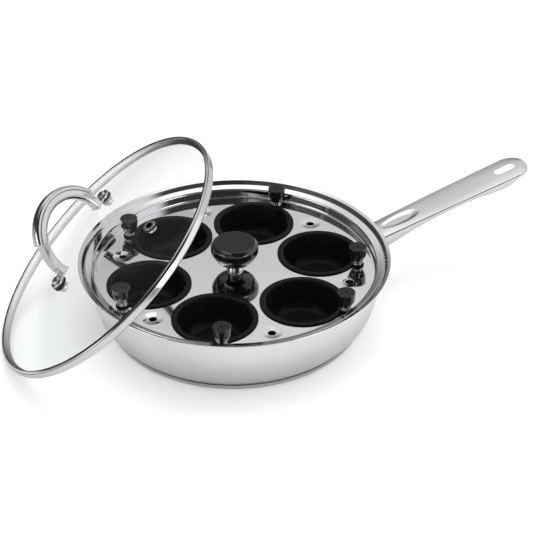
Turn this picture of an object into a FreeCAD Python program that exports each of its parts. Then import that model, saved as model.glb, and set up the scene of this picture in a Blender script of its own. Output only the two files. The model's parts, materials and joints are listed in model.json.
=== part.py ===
import FreeCAD, Part
import math
import os

# Egg poacher pan: a shallow steel pan with a long handle, a lift-out tray that carries six
# lift-out cups, and a domed glass lid that leans against the pan.
# Millimetres, +Z up, +X along the pan's handle, origin in the middle under the base.

ORIGIN = FreeCAD.Vector(0, 0, 0)
ALONG = FreeCAD.Vector(1, 0, 0)
ACROSS = FreeCAD.Vector(0, 1, 0)
UP = FreeCAD.Vector(0, 0, 1)
FULL_TURN = 360
WELD_GAP = 0.05

# Pan body: one drawn sheet, outer face from the floor out to the lip
PAN_SHEET = 0.9
PAN_FLOOR_RADIUS = 117.4
PAN_FLOOR_Z = 4.7
PAN_CORNER_BEND = 5.0
PAN_BELLY_RADIUS = 127.8
PAN_BELLY_Z = 16.5
PAN_BELLY_BEND = 40.0
PAN_WALL_RADIUS = 133.0
PAN_SHOULDER_Z = 40.0
PAN_SHOULDER_BEND = 90.0
PAN_LEDGE_Z = 58.0
PAN_LEDGE_BEND = 1.3
PAN_FLARE_RADIUS = 137.4
PAN_FLARE_Z = 59.35
PAN_LIP_START_RADIUS = 140.4
PAN_LIP_START_Z = 63.0
PAN_LIP_BEND = 1.3
PAN_LIP_RADIUS = 143.2
PAN_LIP_Z = 63.9

# Base: steel capsule over an aluminium disc
CAP_RADIUS = 117.6
CAP_SHEET = 0.6
CAP_BEND = 1.6
CAP_TOP_Z = 4.0
CORE_RADIUS = 115.0

# Pan handle, drawn level and then tilted: length along its flat top from the pan's wall
HANDLE_ROOT_X = 135.0
HANDLE_ROOT_Z = 51.0
HANDLE_RISE = 13.3
HANDLE_LENGTH = 179.5
HANDLE_ROOT_WIDTH = 28.6
HANDLE_TIP_WIDTH = 35.4
HANDLE_INSERT = 12.0
HANDLE_SHEET = 1.6
HANDLE_EDGE_ROUND = 2.4
HANDLE_SEAM_DEPTH = 4.0
HULL_SHEET = 1.2
HULL_INSET = 1.0
HULL_TOP_Z = -HANDLE_SEAM_DEPTH - WELD_GAP
HULL_DEPTHS = (
    (-12, 19.5), (0, 17.6), (20, 14.1), (38, 10.2), (56, 7.2), (74, 5.3), (92, 4.6),
    (109, 5.4), (122, 7.2), (136, 9.6), (146, 10.6), (156, 11.0), (166, 11.0))
HULL_FULLNESS = 3.0
HULL_STEPS = 12
HULL_END_START = (141.0, -13.6)
HULL_END_FINISH = (163.5, -4.9)
SLOT_LENGTH = 21.8
SLOT_WIDTH = 9.0
SLOT_FROM_TIP = 23.2
SLOT_COLLAR = 1.2
SLOT_COLLAR_DEPTH = 2.6
DIMPLE_MIDDLE = 36.5
DIMPLE_LENGTH = 39.0
DIMPLE_WIDTH = 15.0
DIMPLE_DEPTH = 0.6
DIMPLE_SLANT = 1.3
BRACKET_SHEET = 1.5
BRACKET_WIDTH = 14.0
BRACKET_LENGTH = 34.0
BRACKET_PLATE_WIDTH = 8.0
BRACKET_PLATE_DEPTH = 2.2

# Poaching tray: a dish whose flange rests on the pan's ledge
TRAY_SHEET = 0.8
TRAY_SEAT_GAP = 0.3
TRAY_UNDER_Z = 49.2
TRAY_WALL_RADIUS = 130.6
TRAY_FLOOR_BEND = 2.4
TRAY_FLANGE_BEND = 1.0
TRAY_FLANGE_RADIUS = 136.2
CUP_COUNT = 6
CUP_PITCH = 81.8
CUP_FIRST_ANGLE = 53.7
CUP_STEP = -60.0
CUP_HOLE_RADIUS = 35.2
VENT_PITCH = 107.0
VENT_ANGLE = -30.0
VENT_RADIUS = 3.6
VENT_FLAT_RADIUS = 4.8
VENT_DISH_RADIUS = 11.0
VENT_DISH_EDGE = 9.5
VENT_DISH_BEND = 8.0
VENT_DISH_DEPTH = 1.2

# Tray knob on its collar, held by a screw from below
KNOB_RADIUS = 22.0
KNOB_NECK_RADIUS = 8.2
KNOB_NECK_Z = 55.4
KNOB_BELLY_RADIUS = 17.0
KNOB_BELLY_Z = 58.6
KNOB_BELLY_BEND = 12.0
KNOB_SIDE_Z = 68.5
KNOB_SIDE_BEND = 9.0
KNOB_CROWN_Z = 77.4
KNOB_CROWN_BEND = 5.0
KNOB_TOP_RADIUS = 18.6
KNOB_TOP_Z = 80.6
KNOB_TOP_BEND = 2.0
KNOB_SOCKET_Z = 71.0
INSERT_RADIUS = 4.2
INSERT_WALL = 1.6
COLLAR_FOOT_RADIUS = 7.9
COLLAR_TOP_RADIUS = 7.1
COLLAR_ROUND = 0.8
TRAY_SCREW_RADIUS = 2.5
TRAY_SCREW_CLEARANCE = 0.2
TRAY_SCREW_LENGTH = 20.0
TRAY_SCREW_HEAD_RADIUS = 4.6
TRAY_SCREW_HEAD = 2.6
TRAY_WASHER_RADIUS = 7.0
TRAY_WASHER = 1.0

# Cup: bowl with a flange that rests on the tray, and an ear for its knob
CUP_SHEET = 1.0
CUP_FLANGE_Z = 50.3
CUP_FLANGE_RADIUS = 38.6
CUP_MOUTH_RADIUS = 34.0
CUP_MOUTH_BEND = 1.3
CUP_BOTTOM_RADIUS = 26.0
CUP_BOTTOM_Z = 25.0
CUP_BOTTOM_BEND = 10.0
EAR_PITCH = 40.5
EAR_RADIUS = 6.0
EAR_START = 35.8
CUP_TURNS = (-22.0, -47.0, 21.5, 22.0, 40.0, 36.0)
STUD_RADIUS = 1.6
STUD_LENGTH = 14.0
FERRULE_HEIGHT = 4.0
FERRULE_RADIUS = 4.8
FERRULE_WAIST = 4.0
FERRULE_ROUND = 0.6
FERRULE_BEAD = 1.75
CUP_KNOB_HEIGHT = 14.5
CUP_KNOB_FOOT_RADIUS = 5.3
CUP_KNOB_WAIST_Z = 5.8
CUP_KNOB_WAIST_RADIUS = 7.9
CUP_KNOB_WAIST_BEND = 5.0
CUP_KNOB_TOP_RADIUS = 8.4
CUP_KNOB_TOP_BEND = 1.0
CUP_KNOB_EYE_RADIUS = 1.1
CUP_KNOB_SOCKET = 11.0

# Lid, drawn level on its rim's lower edge and then leaned
LID_RADIUS = 130.2
LID_CENTRE_X = -117.5
LID_CENTRE_Y = 13.8
LID_FLOOR_GAP = 0.4
LID_LEAN_ANGLE = 162.26
LID_TILT = 41.87
LID_SPIN = 51.7
RIM_SHEET = 0.6
RIM_BEND = 1.2
RIM_HEIGHT = 7.3
RIM_FOOT_RADIUS = 127.4
RIM_FLANGE_RADIUS = 125.2
RIM_FLANGE_Z = 9.4
GLASS_RADIUS = 129.4
GLASS_APEX = 31.6
GLASS_SPHERE = 352.0
GLASS_SHEET = 4.0
BOSS_DISTANCE = 47.2
LID_HANDLE_OFFSET = 3.0
BOSS_HOLE_RADIUS = 3.6
VENT_HOLE_DISTANCE = 88.0
VENT_HOLE_RADIUS = 4.2

# Lid handle: a strap bent to an arch with two feet, and a rounded grip over it
ARCH_Z = 36.2
ARCH_OVERRUN = 7.6
STRAP_INNER_RADIUS = 31.8
STRAP_OUTER_RADIUS = 39.8
STRAP_WIDTH = 10.0
GRIP_SIDE_RADIUS = 41.4
GRIP_OUTER_RADIUS = 44.4
GRIP_WIDTH = 10.0
GRIP_NEAR_ANGLE = 50.0
GRIP_FAR_ANGLE = 78.0
FOOT_Z = 30.7
FOOT_SHEET = 2.0
FOOT_RADIUS = 6.8
FOOT_START = 32.0
FOOT_WIDTH = 10.0
LID_SCREW_RADIUS = 2.4
LID_SCREW_CLEARANCE = 0.2
LID_SCREW_END_Z = 19.2
LID_SCREW_HEAD_RADIUS = 4.3
LID_SCREW_HEAD = 2.3
LID_SCREW_HEAD_ROUND = 1.2
CROSS_WIDTH = 1.2
CROSS_LENGTH = 5.0
CROSS_DEPTH = 1.2
GASKET_RADIUS = 7.0
SEAL_RADIUS = 5.0
SEAL_UNDER_Z = 22.9
LID_WASHER_RADIUS = 4.8
LID_WASHER = 0.8
LID_NUT_HEIGHT = 2.4
LID_NUT_FLATS = 7.0

# Steam vent of the lid, heights above the glass
EYELET_BORE = 2.6
EYELET_TUBE = 3.4
EYELET_FLANGE = 5.9
EYELET_SHEET = 0.9
EYELET_ROUND = 0.35
VENT_GASKET_RADIUS = 6.5
VENT_GASKET = 1.0


def point(x, z):
    """Point of the XZ plane."""
    return FreeCAD.Vector(x, 0, z)


def corner_join(before, here, after, radius):
    """Start, middle and end of the arc that rounds a corner, or the bare corner."""
    if not radius:
        return here, here, here
    back = (before - here).normalize()
    ahead = (after - here).normalize()
    half = back.getAngle(ahead) / 2
    setback = radius / math.tan(half)
    inward = (back + ahead).normalize() * (radius / math.sin(half) - radius)
    return here + back * setback, here + inward, here + ahead * setback


def rounded_wire(corners):
    """Closed XZ wire through (x, z, radius) corners, each rounded by its radius."""
    places = [point(x, z) for x, z, radius in corners]
    count = len(places)
    joins = []
    for i, here in enumerate(places):
        after = places[(i + 1) % count]
        joins.append(corner_join(places[i - 1], here, after, corners[i][2]))
    edges = []
    for i, (start, middle, end) in enumerate(joins):
        if corners[i][2]:
            edges.append(Part.Arc(start, middle, end).toShape())
        edges.append(Part.makeLine(end, joins[(i + 1) % count][0]))
    return Part.Wire(edges)


def offset_path(path, distance):
    """The path's corners moved to its left by a distance, with bend radii to match."""
    runs = [(point(*b[:2]) - point(*a[:2])).normalize() for a, b in zip(path, path[1:])]
    lefts = [FreeCAD.Vector(-run.z, 0, run.x) for run in runs]
    lefts = lefts[:1] + lefts + lefts[-1:]
    shifted = []
    for i, (x, z, radius) in enumerate(path):
        before, after = lefts[i], lefts[i + 1]
        shift = (before + after) * (distance / (1 + before.dot(after)))
        turn = before.x * after.z - before.z * after.x
        if radius:
            radius -= math.copysign(distance, turn)
        shifted.append((x + shift.x, z + shift.z, radius))
    return shifted


def turned(corners):
    """Solid turned about the Z axis from a closed outline of rounded corners."""
    return Part.Face(rounded_wire(corners)).revolve(ORIGIN, UP, FULL_TURN)


def turned_sheet(path, thickness):
    """Bent sheet turned about the Z axis; the sheet lies to the left of the path."""
    return turned(path + offset_path(path, thickness)[::-1])


def cylinder(radius, low, high, x=0, y=0):
    """Upright cylinder between two heights."""
    return Part.makeCylinder(radius, high - low, FreeCAD.Vector(x, y, low))


def tube(inner, outer, low, high):
    """Upright ring between two heights."""
    return cylinder(outer, low, high).cut(cylinder(inner, low, high))


def block(low, high):
    """Box between two corners."""
    size = [b - a for a, b in zip(low, high)]
    return Part.makeBox(*size, FreeCAD.Vector(*low))


def around(distance, angle):
    """Place at a distance from the Z axis, at an angle in degrees."""
    turn = math.radians(angle)
    return FreeCAD.Vector(distance * math.cos(turn), distance * math.sin(turn), 0)


def moved(shape, placement):
    """Copy of a shape carried by a placement."""
    copy = shape.copy()
    copy.Placement = placement.multiply(copy.Placement)
    return copy


def shifted_along(shape, x):
    """Copy of a shape moved along X."""
    return moved(shape, FreeCAD.Placement(ALONG * x, FreeCAD.Rotation()))


def save(name, shape):
    """Writes one piece and stops if it is not one sound solid."""
    solids = shape.Solids
    if len(solids) != 1 or not solids[0].isValid():
        raise ValueError(f"{name}: {len(solids)} solids")
    solids[0].exportStep(f"parts/{name}.step")
    print(name, round(solids[0].Volume))


# Pan


def pan_path():
    """Outer face of the pan body, from the axis out to the lip."""
    return [
        (0, PAN_FLOOR_Z, 0),
        (PAN_FLOOR_RADIUS, PAN_FLOOR_Z, PAN_CORNER_BEND),
        (PAN_BELLY_RADIUS, PAN_BELLY_Z, PAN_BELLY_BEND),
        (PAN_WALL_RADIUS, PAN_SHOULDER_Z, PAN_SHOULDER_BEND),
        (PAN_WALL_RADIUS, PAN_LEDGE_Z, PAN_LEDGE_BEND),
        (PAN_FLARE_RADIUS, PAN_FLARE_Z, PAN_LEDGE_BEND),
        (PAN_LIP_START_RADIUS, PAN_LIP_START_Z, PAN_LIP_BEND),
        (PAN_LIP_RADIUS, PAN_LIP_Z, 0),
    ]


def pan_block():
    """The pan's outside as a full body, a weld gap larger, to trim what meets it."""
    path = offset_path(pan_path()[:5], -WELD_GAP)
    return turned(path + [(0, PAN_LEDGE_Z, 0)])


def base_cap():
    """Shallow steel cup under the base."""
    path = [(0, 0, 0), (CAP_RADIUS, 0, CAP_BEND), (CAP_RADIUS, CAP_TOP_Z, 0)]
    return turned_sheet(path, CAP_SHEET)


def base_core():
    """Aluminium disc inside the cup."""
    low = CAP_SHEET + WELD_GAP
    return turned([
        (0, low, 0),
        (CORE_RADIUS, low, CAP_BEND),
        (CORE_RADIUS, PAN_FLOOR_Z - WELD_GAP, 0),
        (0, PAN_FLOOR_Z - WELD_GAP, 0),
    ])


# Pan handle


def handle_placement():
    """From the level drawing of the handle to its place on the pan."""
    return FreeCAD.Placement(
        FreeCAD.Vector(HANDLE_ROOT_X, 0, HANDLE_ROOT_Z), FreeCAD.Rotation(ACROSS, -HANDLE_RISE))


def handle_half_width(distance):
    """Half the handle's width at a distance along it."""
    tip = HANDLE_TIP_WIDTH / 2
    centre = HANDLE_LENGTH - tip
    if distance > centre:
        return math.sqrt(tip ** 2 - (distance - centre) ** 2)
    root = HANDLE_ROOT_WIDTH / 2
    return root + (tip - root) * max(distance, 0) / centre


def handle_plan(inset, low, high):
    """Plan of the handle drawn in by an inset, as a plate between two heights."""
    tip = HANDLE_TIP_WIDTH / 2 - inset
    root = HANDLE_ROOT_WIDTH / 2 - inset
    centre = HANDLE_LENGTH - HANDLE_TIP_WIDTH / 2
    start = FreeCAD.Vector(-HANDLE_INSERT, -root, low)
    right = FreeCAD.Vector(centre, -tip, low)
    end = FreeCAD.Vector(centre + tip, 0, low)
    left = FreeCAD.Vector(centre, tip, low)
    back = FreeCAD.Vector(-HANDLE_INSERT, root, low)
    edges = [
        Part.makeLine(start, right),
        Part.Arc(right, end, left).toShape(),
        Part.makeLine(left, back),
        Part.makeLine(back, start),
    ]
    return Part.Face(Part.Wire(edges)).extrude(UP * (high - low))


def slot_plug(grow, low, high):
    """Plug of the hang slot's shape, larger all round by an amount."""
    centre = HANDLE_LENGTH - SLOT_FROM_TIP
    half = (SLOT_LENGTH - SLOT_WIDTH) / 2
    radius = SLOT_WIDTH / 2 + grow
    plug = block((centre - half, -radius, low), (centre + half, radius, high))
    for x in (centre - half, centre + half):
        plug = plug.fuse(cylinder(radius, low, high, x))
    return plug.removeSplitter()


def dimple_plug():
    """Oval that cuts the thumb dimple, deeper towards the tip."""
    oval = Part.Ellipse(ORIGIN, DIMPLE_LENGTH / 2, DIMPLE_WIDTH / 2).toShape()
    plug = Part.Face(Part.Wire([oval])).extrude(UP * HANDLE_SEAM_DEPTH)
    slope = FreeCAD.Rotation(ACROSS, DIMPLE_SLANT)
    return moved(plug, FreeCAD.Placement(FreeCAD.Vector(DIMPLE_MIDDLE, 0, -DIMPLE_DEPTH), slope))


def handle_top_shell():
    """Upper shell: flat top with rounded edges, thumb dimple and a collared hang slot."""
    shell = handle_plan(0, -HANDLE_SEAM_DEPTH, 0)
    rim = [edge for edge in shell.Edges if edge.BoundBox.ZMin > -HANDLE_SEAM_DEPTH / 2]
    shell = shell.makeFillet(HANDLE_EDGE_ROUND, rim)
    hollow = handle_plan(HANDLE_SHEET, -HANDLE_SEAM_DEPTH, -HANDLE_SHEET)
    shell = shell.cut(hollow).cut(dimple_plug())
    shell = shell.fuse(slot_plug(SLOT_COLLAR, -SLOT_COLLAR_DEPTH, -HANDLE_SHEET / 2))
    return shell.cut(slot_plug(0, -SLOT_COLLAR_DEPTH, HANDLE_SHEET))


def hull_section(distance, depth, inset):
    """Boat-shaped section of the lower shell, drawn in by an inset."""
    half = handle_half_width(distance) - HULL_INSET - inset
    power = 2 / HULL_FULLNESS
    places = []
    for i in range(HULL_STEPS + 1):
        turn = math.pi * i / HULL_STEPS
        y = -math.copysign(half * abs(math.cos(turn)) ** power, math.cos(turn))
        z = HULL_TOP_Z - (depth - inset) * abs(math.sin(turn)) ** power
        places.append(FreeCAD.Vector(distance, y, z))
    curve = Part.BSplineCurve()
    curve.interpolate(places)
    return Part.Wire([curve.toShape(), Part.makeLine(places[-1], places[0])])


def hull_end_wedge():
    """What is cut off the lower shell for its slanted open end under the hang slot."""
    start = FreeCAD.Vector(HULL_END_START[0], -HANDLE_TIP_WIDTH, HULL_END_START[1])
    finish = FreeCAD.Vector(HULL_END_FINISH[0], -HANDLE_TIP_WIDTH, HULL_END_FINISH[1])
    reach = finish - start
    low, high = start - reach, finish + reach
    below = FreeCAD.Vector(high.x, high.y, low.z)
    face = Part.Face(Part.makePolygon([low, high, below, low]))
    return face.extrude(ACROSS * 2 * HANDLE_TIP_WIDTH)


def handle_bottom_shell():
    """Lower shell: a hull that is deep at the pan, slim in the middle and full near its slanted open end."""
    outer = Part.makeLoft([hull_section(s, depth, 0) for s, depth in HULL_DEPTHS], True)
    inner = Part.makeLoft([hull_section(s, depth, HULL_SHEET) for s, depth in HULL_DEPTHS], True)
    return outer.cut(inner).cut(hull_end_wedge())


def handle_bracket():
    """Plate on the pan's wall with a tongue that the handle's shells are welded to."""
    half = BRACKET_WIDTH / 2
    low = HULL_TOP_Z - BRACKET_SHEET
    tongue = block((-HANDLE_INSERT, -half, low), (BRACKET_LENGTH, half, HULL_TOP_Z))
    half = BRACKET_PLATE_WIDTH / 2
    plate = block((-HANDLE_INSERT, -half, low - BRACKET_PLATE_DEPTH), (BRACKET_SHEET, half, low))
    return tongue.fuse(plate).removeSplitter()


def save_pan():
    """Pan body, base and handle."""
    save("pan_body", turned_sheet(pan_path(), PAN_SHEET))
    save("base_cap", base_cap())
    save("base_core", base_core())
    wall = pan_block()
    for build in (handle_top_shell, handle_bottom_shell, handle_bracket):
        save(build.__name__, moved(build(), handle_placement()).cut(wall))


# Tray


def seat_z(radius):
    """Height of the tray flange's under face over the pan's sloping ledge."""
    slope = (PAN_FLARE_Z - PAN_LEDGE_Z) / (PAN_FLARE_RADIUS - PAN_WALL_RADIUS)
    lift = (PAN_SHEET + TRAY_SEAT_GAP) * math.hypot(1, slope)
    return PAN_LEDGE_Z + slope * (radius - PAN_WALL_RADIUS) + lift


def cup_angle(index):
    """Angle of a cup around the tray, in degrees."""
    return CUP_FIRST_ANGLE + CUP_STEP * index


def vent_dish():
    """Dished sheet with a hole, drawn about the Z axis at the tray's height."""
    low = TRAY_UNDER_Z - VENT_DISH_DEPTH
    return turned_sheet([
        (VENT_RADIUS, low, 0),
        (VENT_FLAT_RADIUS, low, VENT_DISH_BEND),
        (VENT_DISH_EDGE, TRAY_UNDER_Z, VENT_DISH_BEND),
        (VENT_DISH_RADIUS, TRAY_UNDER_Z, 0),
    ], TRAY_SHEET)


def tray():
    """Dish with a flange, cup holes, dished steam vents and the knob's screw hole."""
    dish = turned_sheet([
        (0, TRAY_UNDER_Z, 0),
        (TRAY_WALL_RADIUS, TRAY_UNDER_Z, TRAY_FLOOR_BEND),
        (TRAY_WALL_RADIUS, seat_z(TRAY_WALL_RADIUS), TRAY_FLANGE_BEND),
        (TRAY_FLANGE_RADIUS, seat_z(TRAY_FLANGE_RADIUS), 0),
    ], TRAY_SHEET)
    top = TRAY_UNDER_Z + TRAY_SHEET
    holes = [cylinder(TRAY_SCREW_RADIUS + TRAY_SCREW_CLEARANCE, TRAY_UNDER_Z, top)]
    dishes = []
    for i in range(CUP_COUNT):
        cup = around(CUP_PITCH, cup_angle(i))
        vent = around(VENT_PITCH, cup_angle(i) + VENT_ANGLE)
        holes.append(cylinder(CUP_HOLE_RADIUS, TRAY_UNDER_Z, top, cup.x, cup.y))
        holes.append(cylinder(VENT_DISH_RADIUS, TRAY_UNDER_Z, top, vent.x, vent.y))
        dishes.append(moved(vent_dish(), FreeCAD.Placement(vent, FreeCAD.Rotation())))
    return dish.cut(holes).fuse(dishes).removeSplitter()


def tray_knob():
    """Ball knob with a flattened top and a socket for its insert."""
    socket = INSERT_RADIUS + WELD_GAP
    return turned([
        (socket, KNOB_NECK_Z, 0),
        (KNOB_NECK_RADIUS, KNOB_NECK_Z, 0),
        (KNOB_BELLY_RADIUS, KNOB_BELLY_Z, KNOB_BELLY_BEND),
        (KNOB_RADIUS, KNOB_SIDE_Z, KNOB_SIDE_BEND),
        (KNOB_RADIUS, KNOB_CROWN_Z, KNOB_CROWN_BEND),
        (KNOB_TOP_RADIUS, KNOB_TOP_Z, KNOB_TOP_BEND),
        (0, KNOB_TOP_Z, 0),
        (0, KNOB_SOCKET_Z, 0),
        (socket, KNOB_SOCKET_Z, 0),
    ])


def knob_insert():
    """Threaded brass insert, blind at its upper end."""
    bore = TRAY_SCREW_RADIUS + WELD_GAP
    low = KNOB_NECK_Z + WELD_GAP
    high = KNOB_SOCKET_Z - WELD_GAP
    return cylinder(INSERT_RADIUS, low, high).cut(cylinder(bore, low, high - INSERT_WALL))


def knob_collar():
    """Steel collar between tray and knob."""
    bore = TRAY_SCREW_RADIUS + TRAY_SCREW_CLEARANCE
    low = TRAY_UNDER_Z + TRAY_SHEET + WELD_GAP
    high = KNOB_NECK_Z - WELD_GAP
    return turned([
        (bore, low, 0),
        (COLLAR_FOOT_RADIUS, low, COLLAR_ROUND),
        (COLLAR_TOP_RADIUS, high, COLLAR_ROUND),
        (bore, high, 0),
    ])


def tray_washer():
    """Washer under the tray's floor."""
    high = TRAY_UNDER_Z - WELD_GAP
    return tube(TRAY_SCREW_RADIUS + TRAY_SCREW_CLEARANCE, TRAY_WASHER_RADIUS, high - TRAY_WASHER, high)


def tray_screw():
    """Slotted screw up into the insert."""
    seat = TRAY_UNDER_Z - TRAY_WASHER - 2 * WELD_GAP
    low = seat - TRAY_SCREW_HEAD
    head = turned([
        (0, low, 0),
        (TRAY_SCREW_HEAD_RADIUS, low, COLLAR_ROUND),
        (TRAY_SCREW_HEAD_RADIUS, seat, 0),
        (0, seat, 0),
    ])
    half = CROSS_WIDTH / 2
    reach = TRAY_SCREW_HEAD_RADIUS
    slot = block((-reach, -half, low), (reach, half, low + CROSS_DEPTH))
    shank = cylinder(TRAY_SCREW_RADIUS, seat, seat + TRAY_SCREW_LENGTH)
    return head.cut(slot).fuse(shank).removeSplitter()


def save_tray():
    """Tray with its knob."""
    for build in (tray, tray_knob, knob_insert, knob_collar, tray_washer, tray_screw):
        save(build.__name__, build())


# Cups, each drawn about the Z axis with its ear along +X


def cup():
    """Bowl with a flat flange and an ear."""
    bowl = turned_sheet([
        (0, CUP_BOTTOM_Z, 0),
        (CUP_BOTTOM_RADIUS, CUP_BOTTOM_Z, CUP_BOTTOM_BEND),
        (CUP_MOUTH_RADIUS, CUP_FLANGE_Z, CUP_MOUTH_BEND),
        (CUP_FLANGE_RADIUS, CUP_FLANGE_Z, 0),
    ], CUP_SHEET)
    top = CUP_FLANGE_Z + CUP_SHEET
    neck = block((EAR_START, -EAR_RADIUS, CUP_FLANGE_Z), (EAR_PITCH, EAR_RADIUS, top))
    disc = cylinder(EAR_RADIUS, CUP_FLANGE_Z, top, EAR_PITCH)
    mouth = cylinder(EAR_START + CUP_SHEET, CUP_FLANGE_Z, top)
    return bowl.fuse(neck.fuse(disc).cut(mouth)).removeSplitter()


def cup_stud():
    """Stud welded on the ear."""
    low = CUP_FLANGE_Z + CUP_SHEET + WELD_GAP
    return cylinder(STUD_RADIUS, low, low + STUD_LENGTH, EAR_PITCH)


def on_ear(corners, low):
    """Piece turned about the ear's stud; corner heights count from a given height."""
    piece = turned([(x, z + low, radius) for x, z, radius in corners])
    return shifted_along(piece, EAR_PITCH)


def cup_ferrule():
    """Ferrule with two beads."""
    bore = STUD_RADIUS + WELD_GAP
    upper = FERRULE_HEIGHT - FERRULE_BEAD
    return on_ear([
        (bore, 0, 0),
        (FERRULE_RADIUS, 0, FERRULE_ROUND),
        (FERRULE_RADIUS, FERRULE_BEAD, FERRULE_ROUND),
        (FERRULE_WAIST, FERRULE_BEAD, 0),
        (FERRULE_WAIST, upper, 0),
        (FERRULE_RADIUS, upper, FERRULE_ROUND),
        (FERRULE_RADIUS, FERRULE_HEIGHT, FERRULE_ROUND),
        (bore, FERRULE_HEIGHT, 0),
    ], CUP_FLANGE_Z + CUP_SHEET + WELD_GAP)


def cup_knob():
    """Knob that widens upwards, with a small eye in its flat top."""
    bore = STUD_RADIUS + WELD_GAP
    return on_ear([
        (bore, 0, 0),
        (CUP_KNOB_FOOT_RADIUS, 0, FERRULE_ROUND),
        (CUP_KNOB_WAIST_RADIUS, CUP_KNOB_WAIST_Z, CUP_KNOB_WAIST_BEND),
        (CUP_KNOB_TOP_RADIUS, CUP_KNOB_HEIGHT, CUP_KNOB_TOP_BEND),
        (CUP_KNOB_EYE_RADIUS, CUP_KNOB_HEIGHT, 0),
        (CUP_KNOB_EYE_RADIUS, CUP_KNOB_SOCKET, 0),
        (bore, CUP_KNOB_SOCKET, 0),
    ], CUP_FLANGE_Z + CUP_SHEET + FERRULE_HEIGHT + 2 * WELD_GAP)


def save_cups():
    """Six cups, each turned on its own in its hole."""
    pieces = [(build.__name__, build()) for build in (cup, cup_stud, cup_ferrule, cup_knob)]
    for i, turn in enumerate(CUP_TURNS):
        angle = cup_angle(i)
        place = FreeCAD.Placement(around(CUP_PITCH, angle), FreeCAD.Rotation(UP, angle + turn))
        for name, piece in pieces:
            save(f"{name}_{i + 1}", moved(piece, place))


# Lid, drawn level about the Z axis with its handle along X


def lid_placement():
    """From the level drawing of the lid to its place leaning by the pan."""
    lift = LID_RADIUS * math.sin(math.radians(LID_TILT)) + LID_FLOOR_GAP
    turn = FreeCAD.Rotation(UP, LID_LEAN_ANGLE) * FreeCAD.Rotation(ACROSS, LID_TILT)
    return FreeCAD.Placement(
        FreeCAD.Vector(LID_CENTRE_X, LID_CENTRE_Y, lift), turn * FreeCAD.Rotation(UP, LID_SPIN))


def boss_x(side):
    """Place of one of the lid handle's two screws along the handle."""
    return LID_HANDLE_OFFSET + side * BOSS_DISTANCE


def sphere_z(sphere, radius):
    """Height of one of the glass's two faces at a radius."""
    return GLASS_APEX - GLASS_SPHERE + math.sqrt(sphere ** 2 - radius ** 2)


def dome_arc(sphere):
    """Arc of a face of the glass from the axis to its edge."""
    places = [point(r, sphere_z(sphere, r)) for r in (0, GLASS_RADIUS / 2, GLASS_RADIUS)]
    return Part.Arc(*places).toShape()


def vent_placement():
    """From a piece drawn on the glass's apex to the steam vent's place."""
    lean = math.degrees(math.asin(VENT_HOLE_DISTANCE / GLASS_SPHERE))
    centre = FreeCAD.Vector(0, 0, GLASS_APEX - GLASS_SPHERE)
    return FreeCAD.Placement(ORIGIN, FreeCAD.Rotation(ALONG, -lean), centre)


def lid_glass():
    """Domed glass with two handle holes and a vent hole."""
    outer = dome_arc(GLASS_SPHERE)
    inner = dome_arc(GLASS_SPHERE - GLASS_SHEET)
    edges = [
        outer,
        Part.makeLine(outer.lastVertex().Point, inner.lastVertex().Point),
        inner,
        Part.makeLine(inner.firstVertex().Point, outer.firstVertex().Point),
    ]
    glass = Part.Face(Part.Wire(edges)).revolve(ORIGIN, UP, FULL_TURN)
    for side in (-1, 1):
        glass = glass.cut(cylinder(BOSS_HOLE_RADIUS, 0, GLASS_APEX, boss_x(side)))
    vent = cylinder(VENT_HOLE_RADIUS, GLASS_APEX - 2 * GLASS_SHEET, GLASS_APEX + GLASS_SHEET)
    return glass.cut(moved(vent, vent_placement()))


def lid_rim():
    """Rolled steel channel around the glass's edge."""
    return turned_sheet([
        (RIM_FOOT_RADIUS, 0, 0),
        (LID_RADIUS, 0, RIM_BEND),
        (LID_RADIUS, RIM_HEIGHT, RIM_BEND),
        (RIM_FLANGE_RADIUS, RIM_FLANGE_Z, 0),
    ], RIM_SHEET)


def arch(face, start, end):
    """Face drawn along +X at the arch's centre, turned up over the lid between two angles."""
    centre = FreeCAD.Vector(0, 0, ARCH_Z)
    first = moved(face, FreeCAD.Placement(ORIGIN, FreeCAD.Rotation(ACROSS, -start), centre))
    return first.revolve(centre, -ACROSS, end - start)


def lid_strap():
    """Strap bent to an arch, with a drilled foot at each end."""
    half = STRAP_WIDTH / 2
    corners = [(STRAP_INNER_RADIUS, -half), (STRAP_OUTER_RADIUS, -half),
               (STRAP_OUTER_RADIUS, half), (STRAP_INNER_RADIUS, half)]
    outline = Part.makePolygon([FreeCAD.Vector(x, y, ARCH_Z) for x, y in corners + corners[:1]])
    strap = arch(Part.Face(outline), -ARCH_OVERRUN, 180 + ARCH_OVERRUN)
    top = FOOT_Z + FOOT_SHEET
    for side in (-1, 1):
        near, far = sorted((side * FOOT_START, side * BOSS_DISTANCE))
        neck = block((near, -FOOT_WIDTH / 2, FOOT_Z), (far, FOOT_WIDTH / 2, top))
        disc = cylinder(FOOT_RADIUS, FOOT_Z, top, side * BOSS_DISTANCE)
        strap = strap.fuse(neck.fuse(disc))
    for side in (-1, 1):
        bore = LID_SCREW_RADIUS + LID_SCREW_CLEARANCE
        strap = strap.cut(cylinder(bore, FOOT_Z, top, side * BOSS_DISTANCE))
    return shifted_along(strap.removeSplitter(), LID_HANDLE_OFFSET)


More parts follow.
